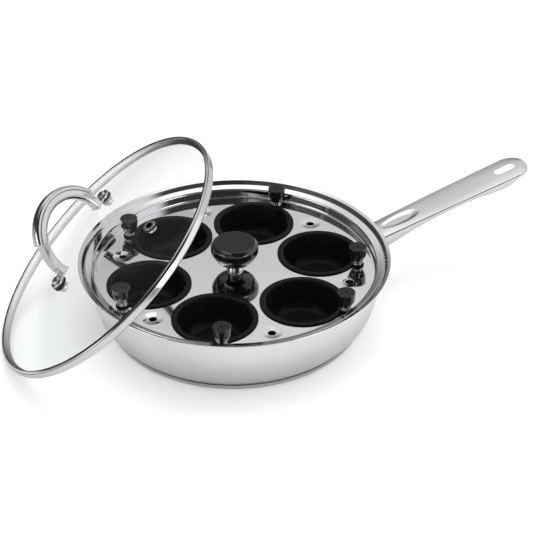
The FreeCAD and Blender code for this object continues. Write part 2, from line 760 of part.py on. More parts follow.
def lid_grip():
    """Rounded grip over the strap, longer towards the far foot."""
    half = GRIP_WIDTH / 2
    base = STRAP_OUTER_RADIUS + WELD_GAP
    near, left, crown, right, far = [
        FreeCAD.Vector(x, y, ARCH_Z) for x, y in (
            (base, -half), (GRIP_SIDE_RADIUS, -half), (GRIP_OUTER_RADIUS, 0),
            (GRIP_SIDE_RADIUS, half), (base, half))
    ]
    edges = [
        Part.makeLine(near, left),
        Part.Arc(left, crown, right).toShape(),
        Part.makeLine(right, far),
        Part.makeLine(far, near),
    ]
    face = Part.Face(Part.Wire(edges))
    grip = arch(face, 90 - GRIP_NEAR_ANGLE, 90 + GRIP_FAR_ANGLE)
    return shifted_along(grip, LID_HANDLE_OFFSET)


def boss_ring(radius, low, high, side):
    """Ring about one of the handle's screws."""
    ring = tube(LID_SCREW_RADIUS + LID_SCREW_CLEARANCE, radius, low, high)
    return shifted_along(ring, boss_x(side))


def lid_gasket(side):
    """Soft ring between the foot and the glass's outer face."""
    dome = Part.makeSphere(GLASS_SPHERE + WELD_GAP, FreeCAD.Vector(0, 0, GLASS_APEX - GLASS_SPHERE))
    low = sphere_z(GLASS_SPHERE, abs(boss_x(side)) + GASKET_RADIUS)
    return boss_ring(GASKET_RADIUS, low, FOOT_Z - WELD_GAP, side).cut(dome)


def lid_seal(side):
    """Soft ring between the washer and the glass's inner face."""
    sphere = GLASS_SPHERE - GLASS_SHEET - WELD_GAP
    dome = Part.makeSphere(sphere, FreeCAD.Vector(0, 0, GLASS_APEX - GLASS_SPHERE))
    high = sphere_z(sphere, abs(boss_x(side)) - SEAL_RADIUS)
    return boss_ring(SEAL_RADIUS, SEAL_UNDER_Z, high, side).common(dome)


def lid_washer(side):
    """Steel washer under the seal."""
    high = SEAL_UNDER_Z - WELD_GAP
    return boss_ring(LID_WASHER_RADIUS, high - LID_WASHER, high, side)


def lid_nut(side):
    """Hexagonal nut under the washer."""
    high = SEAL_UNDER_Z - LID_WASHER - 2 * WELD_GAP
    reach = LID_NUT_FLATS / math.sqrt(3)
    corners = [around(reach, 60 * i) + UP * (high - LID_NUT_HEIGHT) for i in range(7)]
    nut = Part.Face(Part.makePolygon(corners)).extrude(UP * LID_NUT_HEIGHT)
    nut = nut.cut(cylinder(LID_SCREW_RADIUS + WELD_GAP, high - LID_NUT_HEIGHT, high))
    return shifted_along(nut, boss_x(side))


def lid_screw(side):
    """Cross-head screw down through foot, glass and nut."""
    seat = FOOT_Z + FOOT_SHEET + WELD_GAP
    top = seat + LID_SCREW_HEAD
    head = turned([
        (0, seat, 0),
        (LID_SCREW_HEAD_RADIUS, seat, 0),
        (LID_SCREW_HEAD_RADIUS, top, LID_SCREW_HEAD_ROUND),
        (0, top, 0),
    ])
    long, wide = CROSS_LENGTH / 2, CROSS_WIDTH / 2
    for x, y in ((long, wide), (wide, long)):
        head = head.cut(block((-x, -y, top - CROSS_DEPTH), (x, y, top)))
    screw = head.fuse(cylinder(LID_SCREW_RADIUS, LID_SCREW_END_Z, seat)).removeSplitter()
    return shifted_along(screw, boss_x(side))


def vent_eyelet():
    """Flanged tube through the glass."""
    low = GLASS_APEX - GLASS_SHEET - EYELET_SHEET - WELD_GAP
    high = GLASS_APEX + VENT_GASKET + EYELET_SHEET + 2 * WELD_GAP
    eyelet = turned([
        (EYELET_BORE, low, 0),
        (EYELET_FLANGE, low, EYELET_ROUND),
        (EYELET_FLANGE, low + EYELET_SHEET, EYELET_ROUND),
        (EYELET_TUBE, low + EYELET_SHEET, 0),
        (EYELET_TUBE, high - EYELET_SHEET, 0),
        (EYELET_FLANGE, high - EYELET_SHEET, EYELET_ROUND),
        (EYELET_FLANGE, high, EYELET_ROUND),
        (EYELET_BORE, high, EYELET_ROUND),
    ])
    return moved(eyelet, vent_placement())


def vent_gasket():
    """Soft ring under the eyelet's outer flange."""
    low = GLASS_APEX + WELD_GAP
    ring = tube(EYELET_TUBE + WELD_GAP, VENT_GASKET_RADIUS, low, GLASS_APEX + VENT_GASKET)
    return moved(ring, vent_placement())


def save_lid():
    """Lid with its handle, fixings and vent, leaned by the pan."""
    place = lid_placement()
    for build in (lid_glass, lid_rim, lid_strap, lid_grip, vent_eyelet, vent_gasket):
        save(build.__name__, moved(build(), place))
    for build in (lid_gasket, lid_seal, lid_washer, lid_nut, lid_screw):
        for number, side in ((1, -1), (2, 1)):
            save(f"{build.__name__}_{number}", moved(build(side), place))


os.makedirs("parts", exist_ok=True)
save_pan()
save_tray()
save_cups()
save_lid()
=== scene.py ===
"""Looks of a six-cup egg poacher pan: steel pan, polished tray, coated cups and a glass lid leaning beside it.

Sizes in the classes are millimetres, as on a drawing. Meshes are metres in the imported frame.
"""

import json
import logging
import math
from collections.abc import Callable, Iterator, Sequence
from contextlib import contextmanager
from dataclasses import dataclass, replace
from enum import Enum

import bmesh
import bpy
from mathutils import Matrix, Vector

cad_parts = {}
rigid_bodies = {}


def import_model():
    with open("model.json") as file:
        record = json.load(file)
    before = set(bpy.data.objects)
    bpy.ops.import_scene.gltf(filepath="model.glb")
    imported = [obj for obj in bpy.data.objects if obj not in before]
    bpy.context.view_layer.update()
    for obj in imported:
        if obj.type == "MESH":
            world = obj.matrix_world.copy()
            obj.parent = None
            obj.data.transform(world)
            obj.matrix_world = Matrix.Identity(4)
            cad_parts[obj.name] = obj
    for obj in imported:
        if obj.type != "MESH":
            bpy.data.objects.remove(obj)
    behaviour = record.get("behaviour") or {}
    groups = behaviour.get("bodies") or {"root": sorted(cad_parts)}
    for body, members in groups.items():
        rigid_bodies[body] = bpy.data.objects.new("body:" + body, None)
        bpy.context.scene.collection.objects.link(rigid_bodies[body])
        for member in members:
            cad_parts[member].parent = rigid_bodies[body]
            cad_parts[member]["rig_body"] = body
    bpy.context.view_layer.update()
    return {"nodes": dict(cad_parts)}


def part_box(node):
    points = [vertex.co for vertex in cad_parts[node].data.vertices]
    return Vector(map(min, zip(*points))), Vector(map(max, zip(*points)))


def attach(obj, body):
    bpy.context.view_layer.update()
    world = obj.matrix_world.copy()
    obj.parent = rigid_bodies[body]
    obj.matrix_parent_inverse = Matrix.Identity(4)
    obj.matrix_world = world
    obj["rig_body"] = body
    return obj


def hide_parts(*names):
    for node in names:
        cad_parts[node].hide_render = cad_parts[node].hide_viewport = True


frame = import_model()

LOG = logging.getLogger("egg_poacher")
MM = 0.001
ORIGIN = (0.0, 0.0, 0.0)
UP = (0.0, 0.0, 1.0)
DOWN = -Vector(UP)
MERGE_DISTANCE = 0.002 * MM
ARC_STEP = 9
OVAL_STEPS = 32
LARGE_STEPS = 224
BEVEL_ANGLE = 50.0
SMOOTH_ANGLE = 35.0
RING_STRETCH = 0.004
STRAIGHT_STRETCH = (0.01, 1.0, 1.0)
BUMP_DISTANCE = 0.1 * MM
LINE_RANGE = (0.3, 0.7)
CLOUD_RANGE = (0.35, 0.65)
FLECK_RANGE = (0.4, 0.7)
TOP_RANGE = (0.9, 0.985)
SMUDGE_SHADE = 0.96
CLOUD_SHADE = 1.02
CUP_COUNT = 6
CUP_PITCH = 81.8
FIRST_CUP_ANGLE = 53.7

Pair = tuple[float, float]
Corner = Colour = Place = Triple = tuple[float, float, float]
Inputs = dict[int | str, object]
Piece = bpy.types.Object
NodeTree = bpy.types.NodeTree
Node = bpy.types.Node
Socket = bpy.types.NodeSocket
Material = bpy.types.Material


# Shaping tools


def only(piece: Piece) -> None:
    """Selects one object and makes it the active one."""
    bpy.ops.object.select_all(action="DESELECT")
    piece.select_set(True)
    bpy.context.view_layer.objects.active = piece


@contextmanager
def editing(piece: Piece) -> Iterator[bmesh.types.BMesh]:
    """Opens a piece in edit mode for the length of a with block, with all of it selected.

    Args:
        piece: The object to edit.

    Returns:
        The edit mesh, for selecting by place.
    """
    only(piece)
    bpy.ops.object.mode_set(mode="EDIT")
    bpy.ops.mesh.select_mode(type="VERT")
    bpy.ops.mesh.select_all(action="SELECT")
    yield bmesh.from_edit_mesh(piece.data)
    bpy.ops.object.mode_set(mode="OBJECT")


def pick_edges(piece: Piece, test: Callable[[bmesh.types.BMEdge], bool]) -> None:
    """Selects just the edges that pass a test, in edit mode.

    Args:
        piece: The object being edited.
        test: Says whether an edge is wanted.
    """
    bpy.ops.mesh.select_mode(type="EDGE")
    bpy.ops.mesh.select_all(action="DESELECT")
    mesh = bmesh.from_edit_mesh(piece.data)
    for edge in mesh.edges:
        if test(edge):
            edge.select_set(True)
    bmesh.update_edit_mesh(piece.data)


def arc(radius: float, start: float, end: float, steps: int, x: float = 0.0) -> list[Pair]:
    """Points of an arc round a place on the X axis, its angles in degrees."""
    angles = [math.radians(start + (end - start) * i / steps) for i in range(steps + 1)]
    return [(x + radius * math.cos(angle), radius * math.sin(angle)) for angle in angles]


def oval(fullness: float) -> list[Pair]:
    """Half of a superellipse of size one.

    Args:
        fullness: Its power, 2 for a circle.

    Returns:
        Place across and height of its points, from 1 to -1 across.
    """
    power = 2 / fullness
    half_circle = arc(1.0, 0.0, 180.0, OVAL_STEPS)
    return [(math.copysign(abs(x) ** power, x), abs(y) ** power) for x, y in half_circle]


def corner_points(before: Vector, here: Vector, after: Vector, bend: float) -> list[Vector]:
    """Points of the arc that rounds one corner.

    Args:
        before: The corner before it.
        here: The corner.
        after: The corner after it.
        bend: The arc's radius, 0 for a sharp corner.

    Returns:
        The corner itself, or points along its arc.
    """
    if not bend:
        return [here]
    back = (before - here).normalized()
    ahead = (after - here).normalized()
    half = back.angle(ahead) / 2
    centre = here + (back + ahead).normalized() * (bend / math.sin(half))
    start, end = (here + way * (bend / math.tan(half)) - centre for way in (back, ahead))
    steps = max(3, math.ceil((math.pi - 2 * half) / math.radians(ARC_STEP)))
    return [centre + start.slerp(end, i / steps) * bend for i in range(steps + 1)]


def rounded(corners: Sequence[Corner], closed: bool) -> list[Vector]:
    """Points along a profile with rounded corners.

    Args:
        corners: Radius, height and bend of each corner, in millimetres.
        closed: Whether the last corner joins the first.

    Returns:
        Points in the XZ plane, in metres.
    """
    places = [Vector((x, 0.0, z)) for x, z, bend in corners]
    last = len(places) - 1
    points: list[Vector] = []
    for i, here in enumerate(places):
        bend = corners[i][2] if closed or 0 < i < last else 0.0
        points += corner_points(places[i - 1], here, places[(i + 1) % len(places)], bend)
    return [point * MM for point in points]


def drawn(name: str, points: Sequence[Vector], closed: bool = False) -> Piece:
    """Draws a line of edges by extruding one vertex from point to point.

    Args:
        name: The new object's name.
        points: The places to go through, in metres.
        closed: Whether the line ends where it starts.

    Returns:
        The new object, with its line.
    """
    bpy.ops.object.select_all(action="DESELECT")
    bpy.ops.mesh.primitive_plane_add(size=MM, location=points[0])
    piece = bpy.context.object
    piece.name = piece.data.name = name
    bpy.ops.object.transform_apply(location=True, rotation=False, scale=False)
    route = list(points) + ([points[0]] if closed else [])
    with editing(piece):
        bpy.ops.mesh.merge(type="CENTER")
        for start, end in zip(route, route[1:]):
            bpy.ops.mesh.extrude_region_move(TRANSFORM_OT_translate={"value": end - start})
        weld()
    return piece


def weld() -> None:
    """Merges doubled vertices of the mesh being edited."""
    bpy.ops.mesh.select_all(action="SELECT")
    bpy.ops.mesh.remove_doubles(threshold=MERGE_DISTANCE)


def face_out() -> None:
    """Points the faces of the mesh being edited outwards."""
    bpy.ops.mesh.select_all(action="SELECT")
    bpy.ops.mesh.normals_make_consistent(inside=False)


def turned(name: str, corners: Sequence[Corner], closed: bool = False, steps: int = 96) -> Piece:
    """Turns a rounded profile about the Z axis.

    Args:
        name: The new object's name.
        corners: Radius, height and bend of each corner, in millimetres.
        closed: Whether the profile is a closed outline.
        steps: Divisions of the full turn.

    Returns:
        The new object.
    """
    piece = drawn(name, rounded(corners, closed), closed)
    with editing(piece):
        bpy.ops.mesh.spin(steps=steps, angle=math.tau, center=ORIGIN, axis=UP)
        weld()
        face_out()
    return piece


def apply(piece: Piece, kind: str, **settings: object) -> None:
    """Adds a modifier to a piece and applies it.

    Args:
        piece: The object.
        kind: The modifier's type.
        settings: Values of the modifier.
    """
    only(piece)
    modifier = piece.modifiers.new(kind.lower(), kind)
    for key, value in settings.items():
        setattr(modifier, key, value)
    bpy.ops.object.modifier_apply(modifier=modifier.name)


def thicken(piece: Piece, sheet: float, way: Vector) -> None:
    """Gives a sheet its thickness behind the drawn face.

    Args:
        piece: The sheet.
        sheet: Its thickness in millimetres.
        way: The direction that most of the drawn face looks in.
    """
    with editing(piece) as mesh:
        face_out()
        if sum(face.normal.dot(way) * face.calc_area() for face in mesh.faces) < 0:
            bpy.ops.mesh.flip_normals()
    apply(piece, "SOLIDIFY", thickness=sheet * MM, offset=-1.0, use_even_offset=True)


def soften(piece: Piece, width: float, segments: int = 2) -> None:
    """Rounds the sharp edges of a piece by a width in millimetres."""
    apply(piece, "BEVEL", width=width * MM, segments=segments, limit_method="ANGLE",
          angle_limit=math.radians(BEVEL_ANGLE), use_clamp_overlap=True)


def carve(piece: Piece, tool: Piece, operation: str = "DIFFERENCE") -> None:
    """Cuts a piece with a tool, or joins the tool to it, and removes the tool."""
    apply(piece, "BOOLEAN", object=tool, operation=operation, solver="EXACT")
    bpy.data.objects.remove(tool)


def joined(name: str, pieces: Sequence[Piece]) -> Piece:
    """Makes several objects one mesh.

    Args:
        name: The result's name.
        pieces: The objects, the first of which stays.

    Returns:
        The joined object.
    """
    only(pieces[0])
    for piece in pieces[1:]:
        piece.select_set(True)
    bpy.ops.object.join()
    pieces[0].name = pieces[0].data.name = name
    return pieces[0]


def placed(piece: Piece, matrix: Matrix) -> Piece:
    """Moves a piece by a matrix and leaves the place in its mesh."""
    piece.matrix_world = matrix
    only(piece)
    bpy.ops.object.transform_apply(location=True, rotation=True, scale=True)
    return piece


def copied(piece: Piece, name: str, matrix: Matrix) -> Piece:
    """Copies a piece with a mesh of its own and places the copy.

    Args:
        piece: The object to copy.
        name: The copy's name.
        matrix: The copy's place.

    Returns:
        The copy.
    """
    copy = piece.copy()
    copy.data = piece.data.copy()
    copy.name = copy.data.name = name
    bpy.context.scene.collection.objects.link(copy)
    return placed(copy, matrix)


def smooth(piece: Piece, angle: float = SMOOTH_ANGLE) -> Piece:
    """Shades a piece smooth, apart from edges sharper than an angle in degrees."""
    only(piece)
    bpy.ops.object.shade_smooth_by_angle(angle=math.radians(angle))
    apply(piece, "WEIGHTED_NORMAL", keep_sharp=True)
    return piece


def eased(piece: Piece, width: float, segments: int = 2, angle: float = SMOOTH_ANGLE) -> Piece:
    """Rounds the sharp edges of a piece and shades it smooth."""
    soften(piece, width, segments)
    return smooth(piece, angle)


def at(x: float, y: float, z: float) -> Matrix:
    """Shift by millimetres."""
    return Matrix.Translation(Vector((x, y, z)) * MM)


def turn(degrees: float, axis: str) -> Matrix:
    """Rotation about a coordinate axis."""
    return Matrix.Rotation(math.radians(degrees), 4, axis)


def ring(name: str, radius: float, z: float, steps: int) -> Piece:
    """Draws a level circle of edges about the Z axis.

    Args:
        name: The new object's name.
        radius: Its radius in millimetres.
        z: Its height in millimetres.
        steps: Its number of edges.

    Returns:
        The new object.
    """
    bpy.ops.object.select_all(action="DESELECT")
    bpy.ops.mesh.primitive_circle_add(vertices=steps, radius=radius * MM, location=(0.0, 0.0, z * MM))
    piece = bpy.context.object
    piece.name = piece.data.name = name
    bpy.ops.object.transform_apply(location=True, rotation=False, scale=False)
    return piece


def fill_level(piece: Piece, z: float) -> None:
    """Fills the sheet between the open edges that lie at one height.

    Args:
        piece: The object.
        z: The height in millimetres.
    """
    with editing(piece):
        weld()
        pick_edges(piece, lambda edge: len(edge.link_faces) < 2
                   and all(abs(vertex.co.z - z * MM) < MERGE_DISTANCE for vertex in edge.verts))
        bpy.ops.mesh.fill(use_beauty=True)
        weld()


def slab(name: str, outline: Sequence[Pair], low: float, high: float) -> Piece:
    """Draws a level outline and extrudes it upwards.

    Args:
        name: The new object's name.
        outline: Its corners in the XY plane, in millimetres.
        low: Its lower height.
        high: Its upper height.

    Returns:
        The new object.
    """
    piece = drawn(name, [Vector((x, y, low)) * MM for x, y in outline], closed=True)
    with editing(piece):
        bpy.ops.mesh.edge_face_add()
        bpy.ops.mesh.extrude_region_move(TRANSFORM_OT_translate={"value": (0.0, 0.0, (high - low) * MM)})
        face_out()
    return piece


def rod(name: str, radius: float, low: float, high: float, steps: int) -> Piece:
    """Draws a circle about the Z axis and extrudes it upwards, all in millimetres."""
    return slab(name, arc(radius, 0.0, 360.0, steps)[:-1], low, high)


@dataclass(frozen=True)
class Station:
    """Place and size of one section along a piece, in millimetres."""

    x: float
    half_width: float
    depth: float
    top: float


def lofted(name: str, section: Sequence[Vector], stations: Sequence[Station], closed: bool) -> Piece:
    """Extrudes a section along X, resized at every station.

    Args:
        name: The new object's name.
        section: The section at the first station, in metres.
        stations: Where the section goes and how large it is there.
        closed: Whether the section is a closed outline, whose ends are filled.

    Returns:
        The new object.
    """
    piece = drawn(name, section, closed)
    with editing(piece):
        for before, here in zip(stations, stations[1:]):
            step = Vector((here.x - before.x, 0.0, here.top - before.top)) * MM
            bpy.ops.mesh.extrude_region_move(TRANSFORM_OT_translate={"value": step})
            bpy.ops.transform.resize(value=(1.0, here.half_width / before.half_width, here.depth / before.depth),
                                     center_override=Vector((here.x, 0.0, here.top)) * MM)
        for x in (stations[0].x, stations[-1].x) if closed else ():
            pick_edges(piece, lambda edge: edge.is_boundary
                       and all(abs(vertex.co.x - x * MM) < MERGE_DISTANCE for vertex in edge.verts))
            bpy.ops.mesh.edge_face_add()
        face_out()
    return piece


# Finishes


class Tree:
    """Short way to place and link nodes in a node tree."""

    def __init__(self, tree: NodeTree) -> None:
        """Keeps the tree."""
        self.tree = tree

    def feed(self, node: Node, inputs: Inputs) -> None:
        """Links sockets or sets values on a node's inputs."""
        for key, value in inputs.items():
            if isinstance(value, Socket):
                self.tree.links.new(value, node.inputs[key])
            else:
                node.inputs[key].default_value = value

    def add(self, kind: str, inputs: Inputs | None = None, **settings: object) -> Node:
        """Places a node.

        Args:
            kind: The node's type name, without its ShaderNode prefix.
            inputs: Sockets or values for its inputs.
            settings: The node's own properties.

        Returns:
            The node.
        """
        node = self.tree.nodes.new("ShaderNode" + kind)
        for key, value in settings.items():
            setattr(node, key, value)
        self.feed(node, inputs or {})
        return node

    def group(self, group: NodeTree, **inputs: object) -> Node:
        """Places a node group, with sockets or values for its inputs."""
        return self.add("Group", inputs, node_tree=group)

    def math(self, operation: str, *values: object) -> Socket:
        """Places a Math node and gives its result."""
        return self.add("Math", dict(enumerate(values)), operation=operation).outputs[0]

    def mix(self, share: Socket, first: object, second: object) -> Socket:
        """Mixes two numbers."""
        return self.add("Mix", {0: share, 2: first, 3: second}).outputs[0]

    def mix_colour(self, share: Socket, first: object, second: object) -> Socket:
        """Mixes two colours."""
        return self.add("Mix", {0: share, 6: first, 7: second}, data_type="RGBA").outputs[2]

    def grey(self, tone: object) -> Socket:
        """Makes a grey of one number."""
        return self.add("CombineColor", {0: tone, 1: tone, 2: tone}).outputs[0]

    def part(self, vector: Socket, index: int) -> Socket:
        """Takes one number out of a vector."""
        return self.add("SeparateXYZ", {0: vector}).outputs[index]

    def remap(self, value: Socket, low: float, high: float, start: float, end: float) -> Socket:
        """Maps a value smoothly from the range low to high to the range start to end."""
        inputs = {"Value": value, "From Min": low, "From Max": high, "To Min": start, "To Max": end}
        return self.add("MapRange", inputs, interpolation_type="SMOOTHSTEP").outputs[0]

    def surface(self, shader: Node) -> None:
        """Makes a shader the material's surface."""
        output = next(node for node in self.tree.nodes if node.type == "OUTPUT_MATERIAL")
        self.feed(output, {"Surface": shader.outputs[0]})


def new_group(name: str, inputs: dict[str, str], outputs: dict[str, str]) -> tuple[Tree, Node, Node]:
    """Starts a shader node group.

    Args:
        name: The group's name.
        inputs: Name and socket type of each input.
        outputs: Name and socket type of each output.

    Returns:
        Its node maker, and its input and output nodes.
    """
    group = bpy.data.node_groups.new(name, "ShaderNodeTree")
    for direction, sockets in (("INPUT", inputs), ("OUTPUT", outputs)):
        for socket, kind in sockets.items():
            group.interface.new_socket(socket, in_out=direction, socket_type="NodeSocket" + kind)
    return Tree(group), group.nodes.new("NodeGroupInput"), group.nodes.new("NodeGroupOutput")


def noise_group(name: str, fine: Pair, coarse: Triple) -> NodeTree:
    """Builds a group of two noises, of which the fine one has a scale of its own.

    Args:
        name: The group's name.
        fine: Detail and roughness of the fine noise.
        coarse: Scale, detail and roughness of the coarse noise.

    Returns:
        The group.
    """
    tree, given, result = new_group(name, {"Vector": "Vector", "Scale": "Float"}, {"Fine": "Float", "Coarse": "Float"})
    place, scale = given.outputs["Vector"], given.outputs["Scale"]
    for output, (size, detail, roughness) in {"Fine": (scale, *fine), "Coarse": coarse}.items():
        noise = tree.add("TexNoise", {"Vector": place, "Scale": size, "Detail": detail, "Roughness": roughness})
        tree.feed(result, {output: noise.outputs["Fac"]})
    return tree.tree


def ring_group() -> NodeTree:
    """Builds the group that unrolls a place round the Z axis, so lines run in rings."""
    tree, given, result = new_group("ring_space", {"Vector": "Vector"}, {"Vector": "Vector"})
    x, y, z = tree.add("SeparateXYZ", {0: given.outputs["Vector"]}).outputs
    radius = tree.math("SQRT", tree.math("ADD", tree.math("MULTIPLY", x, x), tree.math("MULTIPLY", y, y)))
    angle = tree.math("MULTIPLY", tree.math("ABSOLUTE", tree.math("ARCTAN2", y, x)), RING_STRETCH)
    tree.feed(result, {"Vector": tree.add("CombineXYZ", {0: radius, 1: angle, 2: z}).outputs[0]})
    return tree.tree


class Grain(Enum):
    """How a steel surface was polished."""

    RINGS = "rings"
    STRAIGHT = "straight"


@dataclass(frozen=True)
class Groups:
    """Node groups that the finishes share."""

    polish: NodeTree
    rings: NodeTree
    speckle: NodeTree


def tint(colour: Colour, share: float = 1.0) -> tuple[float, ...]:
    """A colour, scaled, as a colour socket takes it."""
    return (*(share * channel for channel in colour), 1.0)


@dataclass(frozen=True)
class Finish:
    """What every finish has."""

    name: str
    colour: Colour
    roughness: float

    def wire(self, tree: Tree, shader: Node, groups: Groups) -> None:
        """Feeds this finish's values and textures to the material's shader."""
        raise NotImplementedError

    def material(self, groups: Groups) -> Material:
        """Builds the material.

        Args:
            groups: The shared node groups.

        Returns:
            The material.
        """
        material, tree, shader = principled(self.name)
        self.wire(tree, shader, groups)
        return material


@dataclass(frozen=True)
class PaintedShadeLine:
    """A painted shade line between two radii in millimetres: darkened colour that stands in for the shadow gaps and
    dark reflections where a rolled edge turns.
    """

    inner: float
    outer: float
    shade: float = 0.12
    blur: float = 0.25


@dataclass(frozen=True)
class SteelFinish(Finish):
    """Stainless steel with polishing lines, and painted shade lines where it is given them."""

    spread: float = 0.04
    grain: Grain = Grain.RINGS
    density: float = 4000.0
    depth: float = 0.02
    mirror_above: float | None = None
    mirror_roughness: float = 0.05
    space: Matrix | None = None
    painted_shade_lines: tuple[PaintedShadeLine, ...] = ()

    def wire(self, tree: Tree, shader: Node, groups: Groups) -> None:
        """Feeds polishing lines, hand marks and painted shade lines to the shader."""
        place = object_place(tree, self.space)
        if self.grain is Grain.RINGS:
            vector = tree.group(groups.rings, Vector=place).outputs[0]
        else:
            vector = tree.add("Mapping", {"Vector": place, "Scale": STRAIGHT_STRETCH}).outputs[0]
        lines = tree.group(groups.polish, Vector=vector, Scale=self.density).outputs["Fine"]
        smudge = tree.group(groups.polish, Vector=place).outputs["Coarse"]
        mixed = tree.math("ADD", tree.math("MULTIPLY", lines, 0.5), tree.math("MULTIPLY", smudge, 0.5))
        roughness = tree.remap(mixed, *LINE_RANGE, self.roughness - self.spread, self.roughness + self.spread)
        if self.mirror_above is not None:
            edge = self.mirror_above * MM
            share = tree.remap(tree.part(place, 2), edge - MM, edge, 0.0, 1.0)
            roughness = tree.mix(share, roughness, self.mirror_roughness)
        share = tree.remap(smudge, *CLOUD_RANGE, 0.0, 1.0)
        colour = tree.mix_colour(share, tint(self.colour), tint(self.colour, SMUDGE_SHADE))
        # Painted shade: darkens the colour in rings between two radii, standing in for the shadow gaps and dark
        # reflections of rolled edges.
        for shade_line in self.painted_shade_lines:
            radius = tree.part(tree.group(groups.rings, Vector=place).outputs[0], 0)
            inner, outer, blur = shade_line.inner * MM, shade_line.outer * MM, shade_line.blur * MM
            share = tree.math("MULTIPLY", tree.remap(radius, inner - blur, inner + blur, 0.0, 1.0),
                              tree.remap(radius, outer - blur, outer + blur, 1.0, 0.0))
            colour = tree.mix_colour(share, colour, tint(self.colour, shade_line.shade))
        bump = tree.add("Bump", {"Strength": self.depth, "Distance": BUMP_DISTANCE, "Height": lines}).outputs[0]
        tree.feed(shader, {"Base Color": colour, "Roughness": roughness, "Metallic": 1.0, "Normal": bump})


@dataclass(frozen=True)
class MouldedFinish(Finish):
    """Plastic, coating or rubber with a fine speckle."""

    spread: float = 0.04
    speckle: float = 3000.0
    depth: float = 0.02
    fleck: float = 1.5
    shine: float = 0.5
    gloss: float = 0.0
    matte_top: float | None = None

    def wire(self, tree: Tree, shader: Node, groups: Groups) -> None:
        """Feeds the speckle to the shader, and a matte top where the finish has one."""
        place = object_place(tree, None)
        speckle, cloud = tree.group(groups.speckle, Vector=place, Scale=self.speckle).outputs
        roughness = tree.remap(cloud, *CLOUD_RANGE, self.roughness - self.spread, self.roughness + self.spread)
        coat: float | Socket = self.gloss
        if self.matte_top is not None:
            upward = tree.part(tree.add("NewGeometry").outputs["Normal"], 2)
            share = tree.remap(upward, *TOP_RANGE, 0.0, 1.0)
            roughness = tree.mix(share, roughness, self.matte_top)
            coat = tree.math("MULTIPLY", tree.math("SUBTRACT", 1.0, share), self.gloss)
        flecks = tree.remap(speckle, *FLECK_RANGE, 0.0, 1.0)
        bump = tree.add("Bump", {"Strength": self.depth, "Distance": BUMP_DISTANCE, "Height": speckle}).outputs[0]
        tree.feed(shader, {
            "Base Color": tree.mix_colour(flecks, tint(self.colour), tint(self.colour, self.fleck)),
            "Roughness": roughness, "Coat Weight": coat, "Specular IOR Level": self.shine, "Normal": bump})


@dataclass(frozen=True)
class GlassFinish(Finish):
    """Clear tempered glass that lets lamps through."""

    index: float = 1.28
    shadow: Colour = (0.94, 0.95, 0.96)

    def wire(self, tree: Tree, shader: Node, groups: Groups) -> None:
        """Feeds a faint cloud to the glass, which is clear to shadow rays."""
        place = object_place(tree, None)
        cloud = tree.group(groups.speckle, Vector=place).outputs["Coarse"]
        colour = tree.mix_colour(cloud, tint(self.colour), tint(self.colour, CLOUD_SHADE))
        tree.feed(shader, {"Base Color": colour, "Roughness": self.roughness, "IOR": self.index,
                           "Transmission Weight": 1.0})
        clear = tree.add("BsdfTransparent", {0: tint(self.shadow)})
        rays = tree.add("LightPath").outputs["Is Shadow Ray"]
        tree.surface(tree.add("MixShader", {0: rays, 1: shader.outputs[0], 2: clear.outputs[0]}))


def principled(name: str) -> tuple[Material, Tree, Node]:
    """Starts a material with one Principled shader.

    Args:
        name: The material's name.

    Returns:
        The material, its node maker and its shader.
    """
    material = bpy.data.materials.new(name)
    material.use_nodes = True
    tree = Tree(material.node_tree)
    tree.tree.nodes.clear()
    shader = tree.add("BsdfPrincipled")
    tree.add("OutputMaterial", {"Surface": shader.outputs[0]})
    return material, tree, shader


def object_place(tree: Tree, space: Matrix | None) -> Socket:
    """Object coordinates, turned into a sub-assembly's own space where it has one.

    Args:
        tree: The node maker.
        space: From that space to the frame, or None.

    Returns:
        The place socket.
    """
    place = tree.add("TexCoord").outputs["Object"]
    if space is None:
        return place
    inverse = space.inverted()
    turned_place = tree.add("Mapping", {"Vector": place, "Location": inverse.to_translation(),
                                        "Rotation": inverse.to_euler("XYZ")})
    return turned_place.outputs[0]


class Dresser:
    """Puts finishes and bodies on pieces."""

    def __init__(self) -> None:
        """Builds the shared groups."""
        polish = noise_group("polish_marks", (3.0, 0.6), (18.0, 2.0, 0.5))
        speckle = noise_group("fine_speckle", (2.0, 0.5), (40.0, 1.0, 0.5))
        self.groups = Groups(polish, ring_group(), speckle)
        self.made: dict[str, Material] = {}

    def paint(self, piece: Piece, finish: Finish) -> None:
        """Gives a piece one finish.

        Args:
            piece: The object.
            finish: Its finish.
        """
        if finish.name not in self.made:
            self.made[finish.name] = finish.material(self.groups)
        piece.data.materials.clear()
        piece.data.materials.append(self.made[finish.name])

    def node(self, name: str, finish: Finish) -> None:
        """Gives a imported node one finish."""
        self.paint(frame["nodes"][name], finish)
        LOG.info("node %s: %s", name, finish.name)

    def piece(self, piece: Piece, node: str, finish: Finish) -> None:
        """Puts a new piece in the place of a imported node.

        Args:
            piece: The new object.
            node: The node it stands for.
            finish: Its finish.
        """
        body = frame["nodes"][node]["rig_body"]
        self.paint(piece, finish)
        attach(piece, body)
        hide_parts(node)
        low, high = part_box(node)
        corners = [Vector(corner) for corner in piece.bound_box]
        grown = max(max(c[i] - high[i], low[i] - c[i]) for c in corners for i in range(3))
        faces = len(piece.data.polygons)
        LOG.info("piece %s on %s: %d faces, %.2f mm past its node", piece.name, body, faces, grown / MM)


